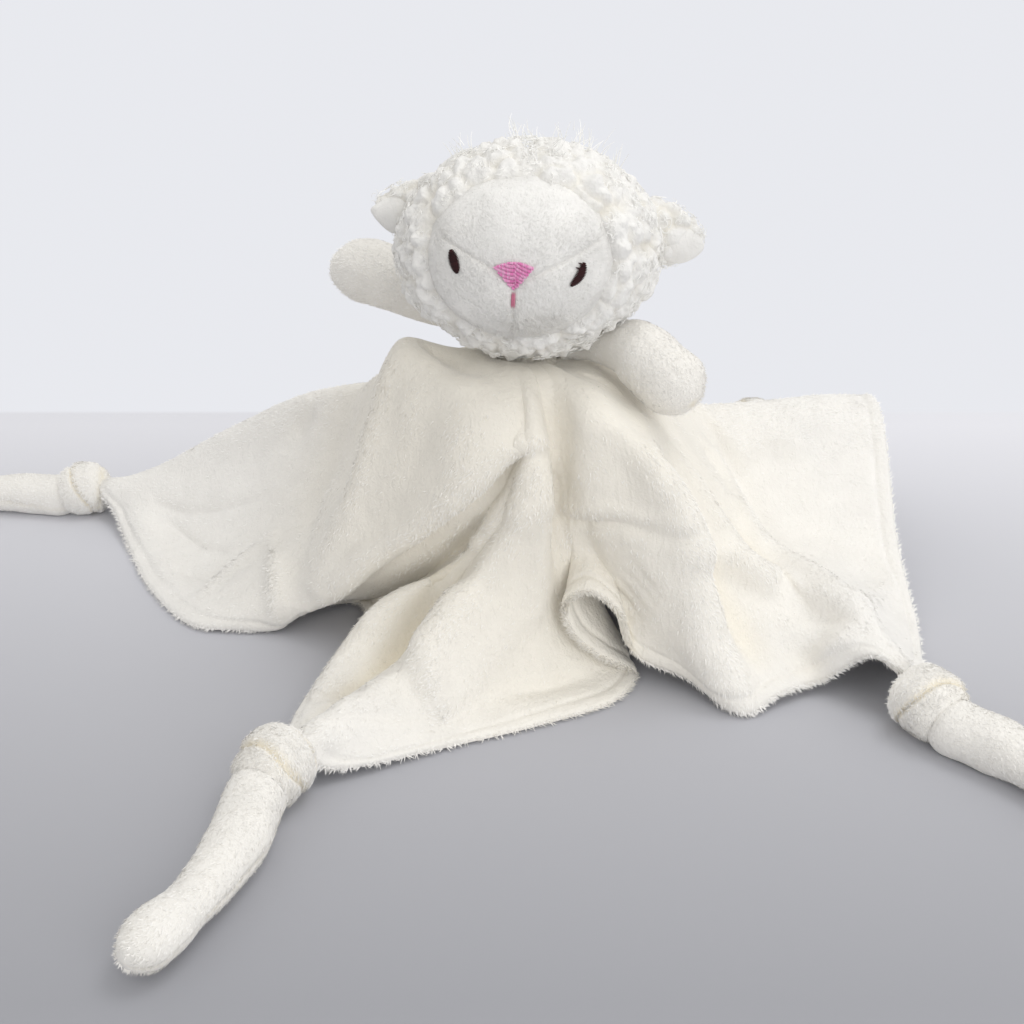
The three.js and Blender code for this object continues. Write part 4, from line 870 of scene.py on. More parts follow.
def fleeceFibres(name, clumps, outward, looks, body):
    perClump = looks["fibresPerClump"]
    roots = np.repeat(clumps, perClump, axis=0)
    lean = np.repeat(outward, perClump, axis=0)
    count = len(roots)
    sideways = unit(np.cross(lean, chance.normal(size=(count, 3))))
    over = np.cross(lean, sideways)
    reach = chance.uniform(0.1, 0.62, (count, 1)) * looks["clumpSpacing"]
    start = roots + sideways * reach
    start = start + lean * (looks["clumpHeight"] * (0.8 - 0.22 * reach ** 2 / 9) - 0.4)
    lengths = between(looks["fibreLength"], count)[:, None]
    curl = chance.uniform(1.5, 4.5, (count, 1)) * chance.choice([-1, 1], (count, 1))
    lift = chance.uniform(0.0, 0.35, (count, 1))
    steps = 4
    path = [start]
    heading = chance.uniform(0, 2 * math.pi, (count, 1))
    for k in range(1, steps):
        turn = heading + curl * k / steps
        flat = sideways * np.cos(turn) + over * np.sin(turn)
        up = lift * math.cos(math.pi * k / steps) * 0.9
        path.append(path[-1] + (flat + lean * up) * lengths / steps * 0.8)
    paths = np.stack(path, axis=1)
    outFrom = unit(start - (np.repeat(clumps, perClump, axis=0) - lean * 3))
    piece = fibrePiece(name, paths, between(looks["fibreWidth"], count), outFrom, paintedLitFleece,
                       {"toneAndShade": chance.uniform(0, 0.2, count)})
    fitPiece(piece, body, "fleece")


hoodClumpCount = int(4 * math.pi * np.mean(hoodRadii) ** 2 / head["clumpSpacing"] ** 2)
hoodDirections = clumpDirections(hoodClumpCount)
hoodClumps = hoodCenter + hoodDirections * hoodRadii


# How far the hood is drawn in under the chin, at a height between -1 and 1
def underChin(height):
    return head["chinTuck"] * bell(-height - 0.68, 0.13)


def hoodHalf(name, side, node):
    direction = ballGrid(*head["hoodSteps"], math.pi / 2, side)
    grid = hoodCenter + direction * hoodRadii
    outward = unit(direction / hoodRadii)
    bumps = clumpRelief(grid, hoodClumps, head["clumpSpacing"])
    height = head["clumpHeight"] * bumps + lumps(grid, head["fineLumps"]) - head["inset"]
    parting = bell(grid[..., 0] - hoodCenter[0], head["partingWidth"]) * head["partingDepth"]
    parting = parting * (grid[..., 2] > hoodCenter[2])
    share = faceShare(grid)
    inFace = head["faceHollow"] * (1 - smoothStep(0.9, 0.99, share))
    inFace = inFace - head["faceRim"] * bell(share - 1.08, 0.08)
    height = height - parting - inFace - underChin(direction[..., 2])
    grid = grid + outward * height[..., None]
    # painted shade in the valleys between the clumps
    valleyShade = np.clip(0.5 - 0.8 * bumps, 0, 1)
    piece = roundPiece(name, grid, hoodCenter, fleece, {"toneAndShade": valleyShade})
    fitPiece(piece, "head", "fleece", node)


hoodHalf("leftHood", -1, "left_hood_half")
hoodHalf("rightHood", 1, "right_hood_half")
hoodOutward = unit(hoodDirections / hoodRadii)
shown = faceShare(hoodClumps) > 0.99
curlBase = hoodClumps - hoodOutward * underChin(hoodDirections[:, 2:])
fleeceFibres("hoodCurls", curlBase[shown], hoodOutward[shown], head, "head")
# tufts stand up from the crown
atCrown = np.flatnonzero(shown & (hoodDirections[:, 2] > head["tuftsFrom"]))
tufts = chance.choice(atCrown, head["tuftCount"], replace=False)
picked = np.repeat(tufts, head["fibresPerTuft"])
roots = hoodClumps[picked] + hoodOutward[picked] * 2 + 1.5 * chance.normal(size=(len(picked), 3))
tuftLean = np.repeat(0.35 * chance.normal(size=(len(tufts), 3)), head["fibresPerTuft"], axis=0)
rising = unit(hoodOutward[picked] + tuftLean + 0.15 * chance.normal(size=roots.shape))
across = unit(np.cross(rising, chance.normal(size=roots.shape)))
reach = between(head["tuftLength"], len(picked))[:, None]
shares = np.linspace(0, 1, 5)
wispPaths = [roots + rising * reach * t + across * reach * 0.3 * t ** 2 for t in shares]
towardsCamera = unit(np.cross(rising, np.cross((0, -1, 0.4), rising)))
wispWidths = np.full(len(picked), head["tuftWidth"])
wisps = fibrePiece("crownWisps", np.stack(wispPaths, axis=1), wispWidths, towardsCamera, paintedLitFleece,
                   {"toneAndShade": np.zeros(len(picked))})
fitPiece(wisps, "head", "fleece")
ballPoints = ballGrid(*head["fillingSteps"])
grid = hoodCenter + ballPoints * (hoodRadii - head["fillingInset"])
grid = grid + ballPoints * lumps(grid, head["fillingLumps"])[..., None]
headFilling = roundPiece("headFilling", grid, hoodCenter, stuffing)
fitPiece(headFilling, "head", "stuffing", "head_filling", fill=head["fillingFill"])


# Face panels: the front of a second ball, sunk along its seams and at its edge
noseTip = np.array((-4.0, 139.4))
seamJoint = np.array((-4.0, 141.6))
leftSeam = [(-29.6, 156.0), (-21.5, 151.6), (-13.0, 147.4), tuple(seamJoint)]
rightSeam = [(27.2, 155.4), (17.0, 150.6), (5.5, 145.4), tuple(seamJoint)]
chinSeam = [tuple(seamJoint), (-4.4, 132.0), (-5.0, 119.5)]


def lineDistance(x, z, line):
    nearest = np.full(np.shape(x), 1e3)
    for (x1, z1), (x2, z2) in zip(line, line[1:]):
        length2 = (x2 - x1) ** 2 + (z2 - z1) ** 2
        t = np.clip(((x - x1) * (x2 - x1) + (z - z1) * (z2 - z1)) / length2, 0, 1)
        nearest = np.minimum(nearest, np.hypot(x - x1 - t * (x2 - x1), z - z1 - t * (z2 - z1)))
    return nearest


# Points of the face, seen from the front at x, z
def facePoint(x, z):
    x, z = np.asarray(x, float), np.asarray(z, float)
    dx, dz = (x - faceCenter[0]) / faceRadii[0], (z - faceCenter[2]) / faceRadii[2]
    deep = np.sqrt(np.clip(1 - dx ** 2 - dz ** 2, 0.02, 1))
    y = faceCenter[1] - faceRadii[1] * deep
    share = np.hypot(*onFace(x, z))
    sides = np.minimum(lineDistance(x, z, leftSeam), lineDistance(x, z, rightSeam))
    chin = lineDistance(x, z, chinSeam)
    sink = sum(depth * bell(sides, width) for depth, width in head["sideSeam"])
    sink = sum((depth * bell(chin, width) for depth, width in head["chinSeam"]), sink)
    hx, hz = (x - hoodCenter[0]) / hoodRadii[0], (z - hoodCenter[2]) / hoodRadii[2]
    hoodDepth = hoodRadii[1] * np.sqrt(np.clip(1 - hx ** 2 - hz ** 2, 0, 1))
    underHood = hoodCenter[1] - hoodDepth + 1.6
    y = y + sink - lumps(np.stack([x, y, z], axis=-1), head["facePuff"])
    tuck = smoothStep(0.84, 1.02, share)
    return np.stack([x, y + (np.maximum(underHood, y) - y) * tuck, z], axis=-1)


# A flat grid between two lines of the face
def panelGrid(first, second):
    lengthwise, across = head["panelSteps"]
    top = evenly(np.array([(x, 0, z) for x, z in first], float), lengthwise)
    low = evenly(np.array([(x, 0, z) for x, z in second], float), lengthwise)
    t = np.linspace(0, 1, across)[None, :, None]
    return top[:, None] * (1 - t) + low[:, None] * t


def outlineArc(fromDegrees, toDegrees):
    turn = np.radians(np.linspace(fromDegrees, toDegrees, head["outlineSteps"]))
    reach = head["panelReach"]
    x = head["faceMiddle"][0] + reach * head["faceHalf"][0] * np.cos(turn)
    z = head["faceMiddle"][1] + reach * head["faceHalf"][1] * np.sin(turn)
    return list(zip(x, z))


# Where on the outline a point of the face points to
def degreesOf(point):
    across, up = onFace(*point)
    return math.degrees(math.atan2(up, across))


leftEnd, rightEnd, chinEnd = (degreesOf(p) for p in (leftSeam[0], rightSeam[0], chinSeam[-1]))
facePanels = {
    "forehead": (leftSeam + rightSeam[-2::-1], outlineArc(leftEnd, rightEnd), "forehead_panel"),
    "leftCheek": (leftSeam + chinSeam[1:], outlineArc(leftEnd, 360 + chinEnd), "left_cheek_panel"),
    "rightCheek": (rightSeam + chinSeam[1:], outlineArc(rightEnd, chinEnd), "right_cheek_panel"),
}
faceFuzz = {
    "perPanel": 5200, "length": (0.7, 1.3), "width": (0.22, 0.4), "swirlSize": 9, "lift": 0.2,
    "chinLength": 1.68, "chinPlace": (5, 126), "chinReach": (11, 7),  # longer round this place
}
for name, (seam, outline, node) in facePanels.items():
    flat = panelGrid(seam, outline)
    grid = facePoint(flat[..., 0], flat[..., 2])
    points = grid.reshape(-1, 3)
    quads = facing(points, gridQuads(*grid.shape[:2]), (0, -1, 0))
    normals = gridNormals(grid)
    normals = normals if np.mean(normals[..., 1]) < 0 else -normals
    # painted shade along the seams
    toSeams = [lineDistance(points[:, 0], points[:, 2], line)
               for line in (leftSeam, rightSeam, chinSeam)]
    toneAndShade = 0.45 * bell(np.min(toSeams, axis=0), 1.0)
    panel = makePiece(name, points, quads, faceVelour, {"toneAndShade": toneAndShade})
    fitPiece(panel, "head", "face_velour", node)
    # pile brushed away from the nose
    count = faceFuzz["perPanel"]
    r = chance.integers(1, grid.shape[0] - 1, count)
    c = chance.integers(1, grid.shape[1] - 2, count)
    roots = grid[r, c] + 0.5 * chance.normal(size=(count, 3)) * (1, 0, 1)
    roots[:, 1] = facePoint(roots[:, 0], roots[:, 2])[:, 1]
    lean = normals[r, c]
    brushed = roots - np.array((noseTip[0], roots[:, 1].mean(), noseTip[1]))
    swirl = [softNoise(roots, faceFuzz["swirlSize"], seed) for seed in (21, 22, 23)]
    combed = unit(brushed) * 0.8 + 0.9 * np.stack(swirl, axis=1)
    combed = combed + 0.25 * chance.normal(size=roots.shape)
    lay = brushedFlat(combed, lean, faceFuzz["lift"])
    fromChin = (roots[:, [0, 2]] - faceFuzz["chinPlace"]) / faceFuzz["chinReach"]
    onChin = bell(fromChin[:, 1], 1) * bell(fromChin[:, 0], 1)
    lengths = between(faceFuzz["length"], count) + faceFuzz["chinLength"] * onChin
    fuzz = hairPiece(name + "Pile", roots, lay, lengths, between(faceFuzz["width"], count),
                     lean, faceVelour, {"toneAndShade": chance.uniform(0, 1, count) * onChin})
    fitPiece(fuzz, "head", "face_velour")
print("head covered")


# Embroidery: satin stitches, each a thin capsule that lies on the face
stitches = {
    "lift": 0.55, "bow": 0.35, "noseWidth": 0.56, "eyeWidth": 0.62, "mouthWidth": 0.5,
    "perEye": 17, "mouthLength": 5.8, "steps": (6, 7),
}


def capsules(starts, ends, width):
    rings, sides = stitches["steps"]
    along = ends - starts
    length = np.linalg.norm(along, axis=1, keepdims=True)
    along = along / length
    up = unit(np.cross(along, (0.1, 1.0, 0.05)))
    other = np.cross(along, up)
    turn = np.linspace(0, 2 * math.pi, sides, endpoint=False)
    shares = np.linspace(0, 1, rings)
    radii = (width / 2) * np.sin(math.pi * (0.04 + 0.92 * shares)) ** 0.4
    radii[[0, -1]] *= 0.4
    spokes = up[:, None] * np.cos(turn)[:, None] + other[:, None] * np.sin(turn)[:, None]
    hoops = []
    for share, radius in zip(shares, radii):
        center = starts + (ends - starts) * share
        bow = np.array((0, -stitches["bow"], 0)) * math.sin(math.pi * share)
        hoops.append(center[:, None] + bow + radius * spokes)
    grid = np.stack(hoops, axis=1)
    one = gridQuads(rings, sides, closedColumns=True)
    faces = (np.arange(len(starts))[:, None, None] * rings * sides + one).reshape(-1, 4)
    return grid.reshape(-1, 3), faces


# One piece of stitches from their ends on the face, seen from the front
def embroidered(name, starts, ends, width, material, slotName, node, tone=(0.1, 0.9)):
    def stitchedAt(flat):
        place = facePoint(*np.transpose(flat))
        place[:, 1] -= stitches["lift"]
        return place

    points, faces = capsules(stitchedAt(starts), stitchedAt(ends), width)
    tones = np.repeat(chance.uniform(*tone, len(starts)), len(points) // len(starts))
    piece = makePiece(name, points, faces, material, {"toneAndShade": tones})
    fitPiece(piece, "head", slotName, node)


# The nose is a fan: columns of short upright stitches between its two sides and its crown
nose = {
    "halfWidth": 6.7, "shoulder": 7.6, "crown": 2.0, "columnStep": 0.5, "length": 1.35,
    "step": 1.25, "stagger": 0.45, "least": 0.25,
}


def noseStitches():
    starts, ends = [], []
    half = nose["halfWidth"]
    for k, x in enumerate(np.arange(-half + 0.2, half, nose["columnStep"])):
        low = 0.1 + nose["shoulder"] * (abs(x) / half) ** 1.2
        high = nose["shoulder"] + nose["crown"] * (1 - (x / half) ** 2)
        z = low - 0.5 + nose["stagger"] * (k % 3)
        while z < high - nose["least"]:
            top = min(z + nose["length"], high)
            bottom = max(z, low)
            starts.append((noseTip[0] + x * (0.92 + 0.008 * bottom), noseTip[1] + bottom))
            ends.append((noseTip[0] + x * (0.92 + 0.008 * top), noseTip[1] + top + 0.12))
            z += nose["step"]
    return starts, ends


# stitch tones differ at random between two pinks, the palest standing in for painted glints
embroidered("nose", *noseStitches(), stitches["noseWidth"], pinkThread, "pink_thread",
            "nose_embroidery", (0, 1))
mouthStarts = [(noseTip[0] - 0.5 + 0.4 * k, noseTip[1] - 0.3 - 0.2 * (k % 2)) for k in range(3)]
mouthEnds = [(x - 0.25, z - stitches["mouthLength"] + 0.4 * (k % 2))
             for k, (x, z) in enumerate(mouthStarts)]
embroidered("mouth", mouthStarts, mouthEnds, stitches["mouthWidth"], mouthThread, "pink_thread",
            "mouth_stitch")


def eyeStitches(center, radii, slantDegrees, bend, notches):
    slant = math.radians(slantDegrees)
    starts, ends = [], []
    for k in range(stitches["perEye"]):
        along = (k + 0.5) / stitches["perEye"] * 2 - 1
        half = radii[0] * math.sqrt(1 - along ** 2) + 0.12
        left = half + (notches[k % len(notches)] if along > 0.15 else 0.0)
        for reach, found in ((-left, starts), (half, ends)):
            x, z = reach + bend * (0.4 - along ** 2), along * radii[1] + 0.12 * reach
            found.append((center[0] + x * math.cos(slant) - z * math.sin(slant),
                          center[1] + x * math.sin(slant) + z * math.cos(slant)))
    return starts, ends


# Each eye: its middle, half width and half height, slant in degrees, how far it bends, the notches
# in its outer edge, and the node that it stands for
eyes = {
    "leftEye": ((-22.9, 147.8), (1.65, 3.6), 16, 0.0, (0.0,), "left_eye_embroidery"),
    "rightEye": ((16.6, 143.9), (1.55, 4.1), -30, 0.9, (1.0, 0.0, 0.1), "right_eye_embroidery"),
}
for name, (center, radii, slant, bend, notches, node) in eyes.items():
    starts, ends = eyeStitches(center, radii, slant, bend, notches)
    embroidered(name, starts, ends, stitches["eyeWidth"], darkThread, "dark_thread", node)

# Ears: a flat fleece flap with a smooth lining in front
ears = {
    "left": {
        "base": (-35, 1, 154.5), "rise": 12, "radii": (16.5, 5.6, 12.0), "narrow": 0.55,
        "droop": -2.0,
    },
    "right": {
        "base": (44, 1, 147.5), "rise": -3, "radii": (17.0, 5.6, 11.2), "narrow": 0.3,
        "droop": -3.0,
    },
    "clumpSpacing": 5.6, "clumpHeight": 2.2, "fibresPerClump": 12,
    "fibreLength": (3.0, 6.0), "fibreWidth": (0.28, 0.55),
    "liningRadii": (8.4, 3.0, 6.4), "liningOut": 0.58, "liningForward": 2.6, "fill": 0.3,
    "bareRadii": (8.0, 6, 6.0),  # no curls grow inside these, round the lining
    "inset": 0.9, "lumps": ((0.5, 2.2, 9),), "liningLumps": ((0.35, 4, 10),),
    "steps": (80, 150), "liningSteps": (40, 70),
}


# How an ear narrows towards its tip, more across than in depth
def narrowing(directions, narrow, depthShare):
    return (1 - narrow * np.clip(directions[..., :1], 0, 1) ** 1.4) ** (0, depthShare, 1)


for sideName, outwardX in (("left", -1), ("right", 1)):
    ear = ears[sideName]
    rise = math.radians(ear["rise"])
    along = np.array((outwardX * math.cos(rise), 0, math.sin(rise)))
    upward = np.array((-outwardX * math.sin(rise), 0, math.cos(rise)))
    frontward = np.array((0.0, 1.0, 0.0))
    axes = np.stack([along, frontward, upward])
    base = np.array(ear["base"], float)
    radii = np.array(ear["radii"])
    earClumpCount = int(2 * math.pi * radii[0] * radii[2] * 1.15 / ears["clumpSpacing"] ** 2)
    directions = clumpDirections(earClumpCount)
    clumps = base + (directions * radii * narrowing(directions, ear["narrow"], 0.5)) @ axes
    outward = unit(directions / radii) @ axes
    ballPoints = ballGrid(*ears["steps"])
    grid = base + (ballPoints * radii * narrowing(ballPoints, ear["narrow"], 0.5)) @ axes
    gridOut = unit(ballPoints / radii) @ axes
    bumps = clumpRelief(grid, clumps, ears["clumpSpacing"])
    height = ears["clumpHeight"] * bumps - ears["inset"] + lumps(grid, ears["lumps"])
    grid = grid + gridOut * height[..., None]
    # painted shade in the valleys between the clumps
    masks = {"toneAndShade": np.clip(0.7 - 0.9 * bumps, 0, 1)}
    flap = roundPiece(sideName + "Ear", grid, base, fleece, masks)
    fitPiece(flap, sideName + "_ear", "fleece", sideName + "_ear_fleece", fill=ears["fill"])
    liningMiddle = base + along * (radii[0] * ears["liningOut"]) - frontward * ears["liningForward"]
    liningMiddle = liningMiddle + upward * ear["droop"]
    onLining = np.linalg.norm((clumps - liningMiddle) @ axes.T / ears["bareRadii"], axis=1) < 1
    atHead = np.linalg.norm((clumps - hoodCenter) / hoodRadii, axis=1) < 1.0
    kept = ~(onLining & (outward[:, 1] < 0)) & ~atHead
    fleeceFibres(sideName + "EarCurls", clumps[kept], outward[kept], ears, sideName + "_ear")
    ballPoints = ballGrid(*ears["liningSteps"])
    narrowed = ballPoints * ears["liningRadii"] * narrowing(ballPoints, ear["narrow"], 0)
    patch = liningMiddle + narrowed @ axes
    patch = patch + lumps(patch, ears["liningLumps"])[..., None] * frontward
    masks = {"toneAndShade": np.full(patch.shape[:2], 0.1)}
    lining = roundPiece(sideName + "EarLining", patch, liningMiddle, faceVelour, masks)
    fitPiece(lining, sideName + "_ear", "face_velour", sideName + "_ear_lining")
print("ears made")


# The angle between two directions round a roll, from -pi to pi
def turnBetween(turn, other):
    return (turn - other + math.pi) % (2 * math.pi) - math.pi


# How much of its thickness a roll keeps at a depth into its last, rounded stretch
def rounded(depth, length):
    return np.sqrt(np.clip(1 - (np.clip(depth, 0, length) / length) ** 2, 0.0004, 1))


# A stuffed roll along a line, as thick as asked at each place
def rollGrid(line, radii, sides):
    along = unit(np.gradient(line, axis=0))
    level = unit(np.cross((0, 0, 1), along))
    upward = np.cross(along, level)
    turn = np.linspace(0, 2 * math.pi, sides, endpoint=False)
    spoke = level[:, None] * np.cos(turn)[:, None] + upward[:, None] * np.sin(turn)[:, None]
    return line[:, None] + spoke * radii[..., None], spoke


# Pile over a roll, combed along it, as many hairs as asked with lengths between two limits
def pileOver(name, grid, spoke, count, length, body, headingAlong=1.0):
    rows, columns = grid.shape[:2]
    r = chance.integers(1, rows - 2, count)
    c = chance.integers(0, columns, count)
    s, t = chance.random((2, count, 1))
    nextColumn = (c + 1) % columns
    roots = (grid[r, c] * (1 - s) + grid[r, nextColumn] * s) * (1 - t) + t * (
        grid[r + 1, c] * (1 - s) + grid[r + 1, nextColumn] * s)
    outward = spoke[r, c]
    along = unit(grid[r + 1, c] - grid[r, c])
    swirl = softNoise(roots, bristles["swirlSize"], 12)[:, None] * np.cross(outward, along)
    combed = headingAlong * along + 0.9 * swirl + 0.3 * chance.normal(size=roots.shape)
    lay = brushedFlat(combed, outward, 0.25)
    lengths = between(length, count)
    widths = between(bristles["rollWidth"], count)
    keep = roots[:, 2] > 1.2
    piece = hairPiece(name, roots[keep], lay[keep], lengths[keep], widths[keep], outward[keep],
                      pileHair, {"toneAndShade": np.full(keep.sum(), 0.1)})
    fitPiece(piece, body, "velour")


# Arms: two panels sewn round a stuffing, with the seam low on the side that faces the front
arms = {
    "left": {
        "radius": 12.4, "rootDegrees": 142, "seamDegrees": 148, "dent": None,
        "route": [(-0.24, 0.22, 1.13), (-0.4, 0.32, 1.2), (-0.57, 0.36, 1.25), (-0.74, 0.38, 1.27)],
    },
    "right": {
        "radius": 11.6, "rootDegrees": 8, "seamDegrees": -52, "dent": (0.78, -0.3),
        "route": [(0.25, -0.04, 1.08), (0.38, -0.13, 1.1), (0.48, -0.23, 1.04), (0.57, -0.33, 0.97)],
    },
    "rootDistance": 14, "rootHeight": 104, "seamDepth": 1.3, "puckerHeight": 0.45, "fill": 0.8,
    "rootShare": 0.22, "roundShare": 0.21, "backSeam": 0.1, "steps": (150, 120),
    "lumps": ((0.7, 12, 13), (0.25, 5, 14)), "dentDepth": 2.2, "dentWidth": 4.0,
    "pile": (5000, (0.8, 1.5)),  # how many hairs, and how long
}
for sideName in ("left", "right"):
    arm = arms[sideName]
    rootTurn = math.radians(arm["rootDegrees"])
    away = arms["rootDistance"]
    root = (away * math.cos(rootTurn), away * math.sin(rootTurn), arms["rootHeight"])
    route = np.array([root] + [tuple(part * clothTop for part in place) for place in arm["route"]])
    rows, sides = arms["steps"]
    line = evenly(lineThrough(route, np.linspace(0, 4, 200)), rows)
    share = np.linspace(0, 1, rows)
    swell = arms["rootShare"] + (1 - arms["rootShare"]) * smoothStep(0, 0.6, share)
    swell = swell * rounded(share - (1 - arms["roundShare"]), arms["roundShare"])
    turn = np.linspace(0, 2 * math.pi, sides, endpoint=False)
    radii = arm["radius"] * swell[:, None] * np.ones(sides)
    seamTurn = math.radians(arm["seamDegrees"])
    for place, strength in ((seamTurn, 1), (seamTurn + math.pi, arms["backSeam"])):
        off = np.abs(turnBetween(turn, place)) * radii
        uneven = np.sin(share[:, None] * 75 + 2 * np.sin(share[:, None] * 23))
        pucker = arms["puckerHeight"] * uneven
        seamShape = (0.5 + pucker) * bell(off - 2.6, 1.8) - arms["seamDepth"] * bell(off, 0.9)
        radii = radii + strength * seamShape * swell[:, None]
    radii[-1] = 0
    grid, spoke = rollGrid(line, radii, sides)
    relief = lumps(grid, arms["lumps"])
    if arm["dent"]:
        place, dentTurn = arm["dent"]
        near = np.hypot((share[:, None] - place) * 60, turnBetween(turn, dentTurn) * 11)
        relief = relief - arms["dentDepth"] * bell(near, arms["dentWidth"])
        relief = relief + 0.8 * bell(near - 7, 3.0)
    relief = relief * swell[:, None]
    relief[-1] = 0
    grid = grid + spoke * relief[..., None]
    # painted shade along the seam, and a little over the whole arm
    toneAndShade = 0.12 + 0.5 * bell(np.abs(turnBetween(turn, seamTurn)) * radii, 1.0)
    cover = roundPiece(sideName + "Arm", grid, line.mean(axis=0), velour, {"toneAndShade": toneAndShade})
    nodes = [sideName + "_arm_" + part for part in ("upper_panel", "under_panel", "filling")]
    fitPiece(cover, sideName + "_arm", "velour", *nodes, fill=arms["fill"])
    pileOver(sideName + "ArmPile", grid, spoke, *arms["pile"], sideName + "_arm")
print("arms made")

# Corner knots and the rolled tails that come out of them
ties = {
    "knotRadius": 12.2, "knotHalf": 11.8, "tailRadius": 9.4, "tipRadius": 6.6, "tailLength": 68,
    "bend": 5, "wrapDepth": 1.2, "knotPivot": 11.5, "pivotHeight": 8.6, "lineHeight": 8.4,
    "rootInset": 8.4, "tipRound": 9, "rootRound": 8.5, "fill": 0.7,
    "knotSteps": (110, 130), "tailSteps": (150, 110),
    "knotPile": (5000, (1.0, 2.0)), "tailPile": (4500, (0.9, 1.6)),
    "knotLumps": ((0.5, 6, 15),), "tailLumps": ((0.45, 9, 16),),
    "bulges": ((0.7, 56, 7), (-0.7, 46, 6)),  # height, distance from the pivot, and width
    "lapDegrees": -22, "lapHeight": 0.5,
}
for corner, spot in knotSpots.items():
    heading = math.radians(spot["degrees"])
    forward = np.array((math.cos(heading), math.sin(heading), 0))
    level = np.array((-forward[1], forward[0], 0)) * spot["bend"]
    center = knotCenter(corner)
    words = corner.split("_")
    plainName = words[0] + words[1].capitalize()
    # knot: a barrel round the tail, with a band wrapped slantwise over it. x and the band's edges
    # are shares of the knot's half length.
    rows, sides = ties["knotSteps"]
    x = np.linspace(-1, 1, rows)[:, None]
    turn = np.linspace(0, 2 * math.pi, sides, endpoint=False)[None, :]
    barrel = np.clip(1 - np.abs(x) ** 3.2, 0.0, 1) ** 0.5
    bandEdge = 0.12 + 0.42 * np.sin(turn + 0.6) + 0.08 * np.sin(3 * turn)
    second = -0.55 + 0.25 * np.sin(turn + 2.4)
    overBand = smoothStep(-0.05, 0.3, bandEdge - x) * smoothStep(-1, -0.6, x)
    wrap = -ties["wrapDepth"] * bell(x - bandEdge, 0.08) + 0.9 * overBand
    wrap = wrap - 1.0 * bell(x - second, 0.09)
    pleats = 0.3 * np.sin(9 * turn + 4 * x) * smoothStep(0.25, 0.9, -x)
    radius = ties["knotRadius"] * barrel + (wrap + pleats) * barrel ** 0.6 - 0.6
    spoke = level * np.cos(turn)[..., None] + np.array((0, 0, 1)) * np.sin(turn)[..., None]
    grid = center + forward * (x * ties["knotHalf"])[..., None]
    grid = grid + spoke * np.maximum(radius, 0.02)[..., None]
    grid = grid + spoke * (lumps(grid, ties["knotLumps"]) * barrel)[..., None]
    grid[..., 2] = np.maximum(grid[..., 2], 0.35)
    # painted shade in the grooves of the band
    bandShade = 0.1 + 0.6 * bell(x - bandEdge, 0.12) + 0.4 * bell(x - second, 0.12)
    masks = {"toneAndShade": bandShade * np.ones_like(turn)}
    knot = roundPiece(plainName + "Knot", grid, center, velour, masks)
    fitPiece(knot, "blanket", "velour", corner + "_knot")
    outward = np.broadcast_to(spoke, grid.shape)
    pileOver(plainName + "KnotPile", grid, outward, *ties["knotPile"], "blanket", 0.4)
    # tail: a roll of cloth with a lengthwise lap, resting on the table
    pivot = center + forward * ties["knotPivot"]
    pivot[2] = ties["pivotHeight"]
    thirds = [pivot + forward * ties["tailLength"] * k / 3 + level * (ties["bend"] if k % 3 else 0)
              for k in range(4)]
    line = lineThrough(np.array(thirds), np.linspace(0, 3, 160))
    inKnot = pivot - forward * np.linspace(ties["rootInset"], 0.2, 24)[:, None]
    line = np.concatenate([inKnot, line])
    rows, sides = ties["tailSteps"]
    line = evenly(line, rows)
    travelled = np.linspace(-ties["rootInset"], ties["tailLength"], rows)
    share = np.clip(travelled / ties["tailLength"], 0, 1)
    taper = ties["tailRadius"] + (ties["tipRadius"] - ties["tailRadius"]) * share
    pastTail = travelled - (ties["tailLength"] - ties["tipRound"])
    ends = rounded(pastTail, ties["tipRound"]) * rounded(-travelled, ties["rootRound"])
    turn = np.linspace(0, 2 * math.pi, sides, endpoint=False)
    lapTurn = math.radians(ties["lapDegrees"]) + 0.35 * np.sin(travelled / 21)
    offLap = turnBetween(turn, lapTurn[:, None])
    overLap = smoothStep(-0.1, 0.25, offLap) * smoothStep(1.4, 0.6, offLap)
    lap = ties["lapHeight"] * (overLap - bell(offLap, 0.14))
    bulge = sum(height * bell(travelled - place, width) for height, place, width in ties["bulges"])
    bulge = bulge + 0.5 * np.sin(travelled / 8.0)
    pastKnot = smoothStep(4, 16, travelled)[:, None]
    radii = (taper * ends)[:, None] + (lap + bulge[:, None]) * ends[:, None] * pastKnot
    line[:, 2] = ties["lineHeight"]
    radii[[0, -1]] = 0
    grid, spoke = rollGrid(line, radii, sides)
    grid = grid + spoke * (lumps(grid, ties["tailLumps"]) * ends[:, None])[..., None]
    grid[..., 2] = np.maximum(grid[..., 2], 0.3)
    # painted shade in the groove of the lap
    masks = {"toneAndShade": 0.08 + 0.15 * bell(offLap, 0.2)}
    tail = roundPiece(plainName + "Tail", grid, line.mean(axis=0), velour, masks)
    fitPiece(tail, corner + "_tail", "velour", corner + "_tail", fill=ties["fill"])
    pileOver(plainName + "TailPile", grid, spoke, *ties["tailPile"], corner + "_tail")
print("knots and tails made")

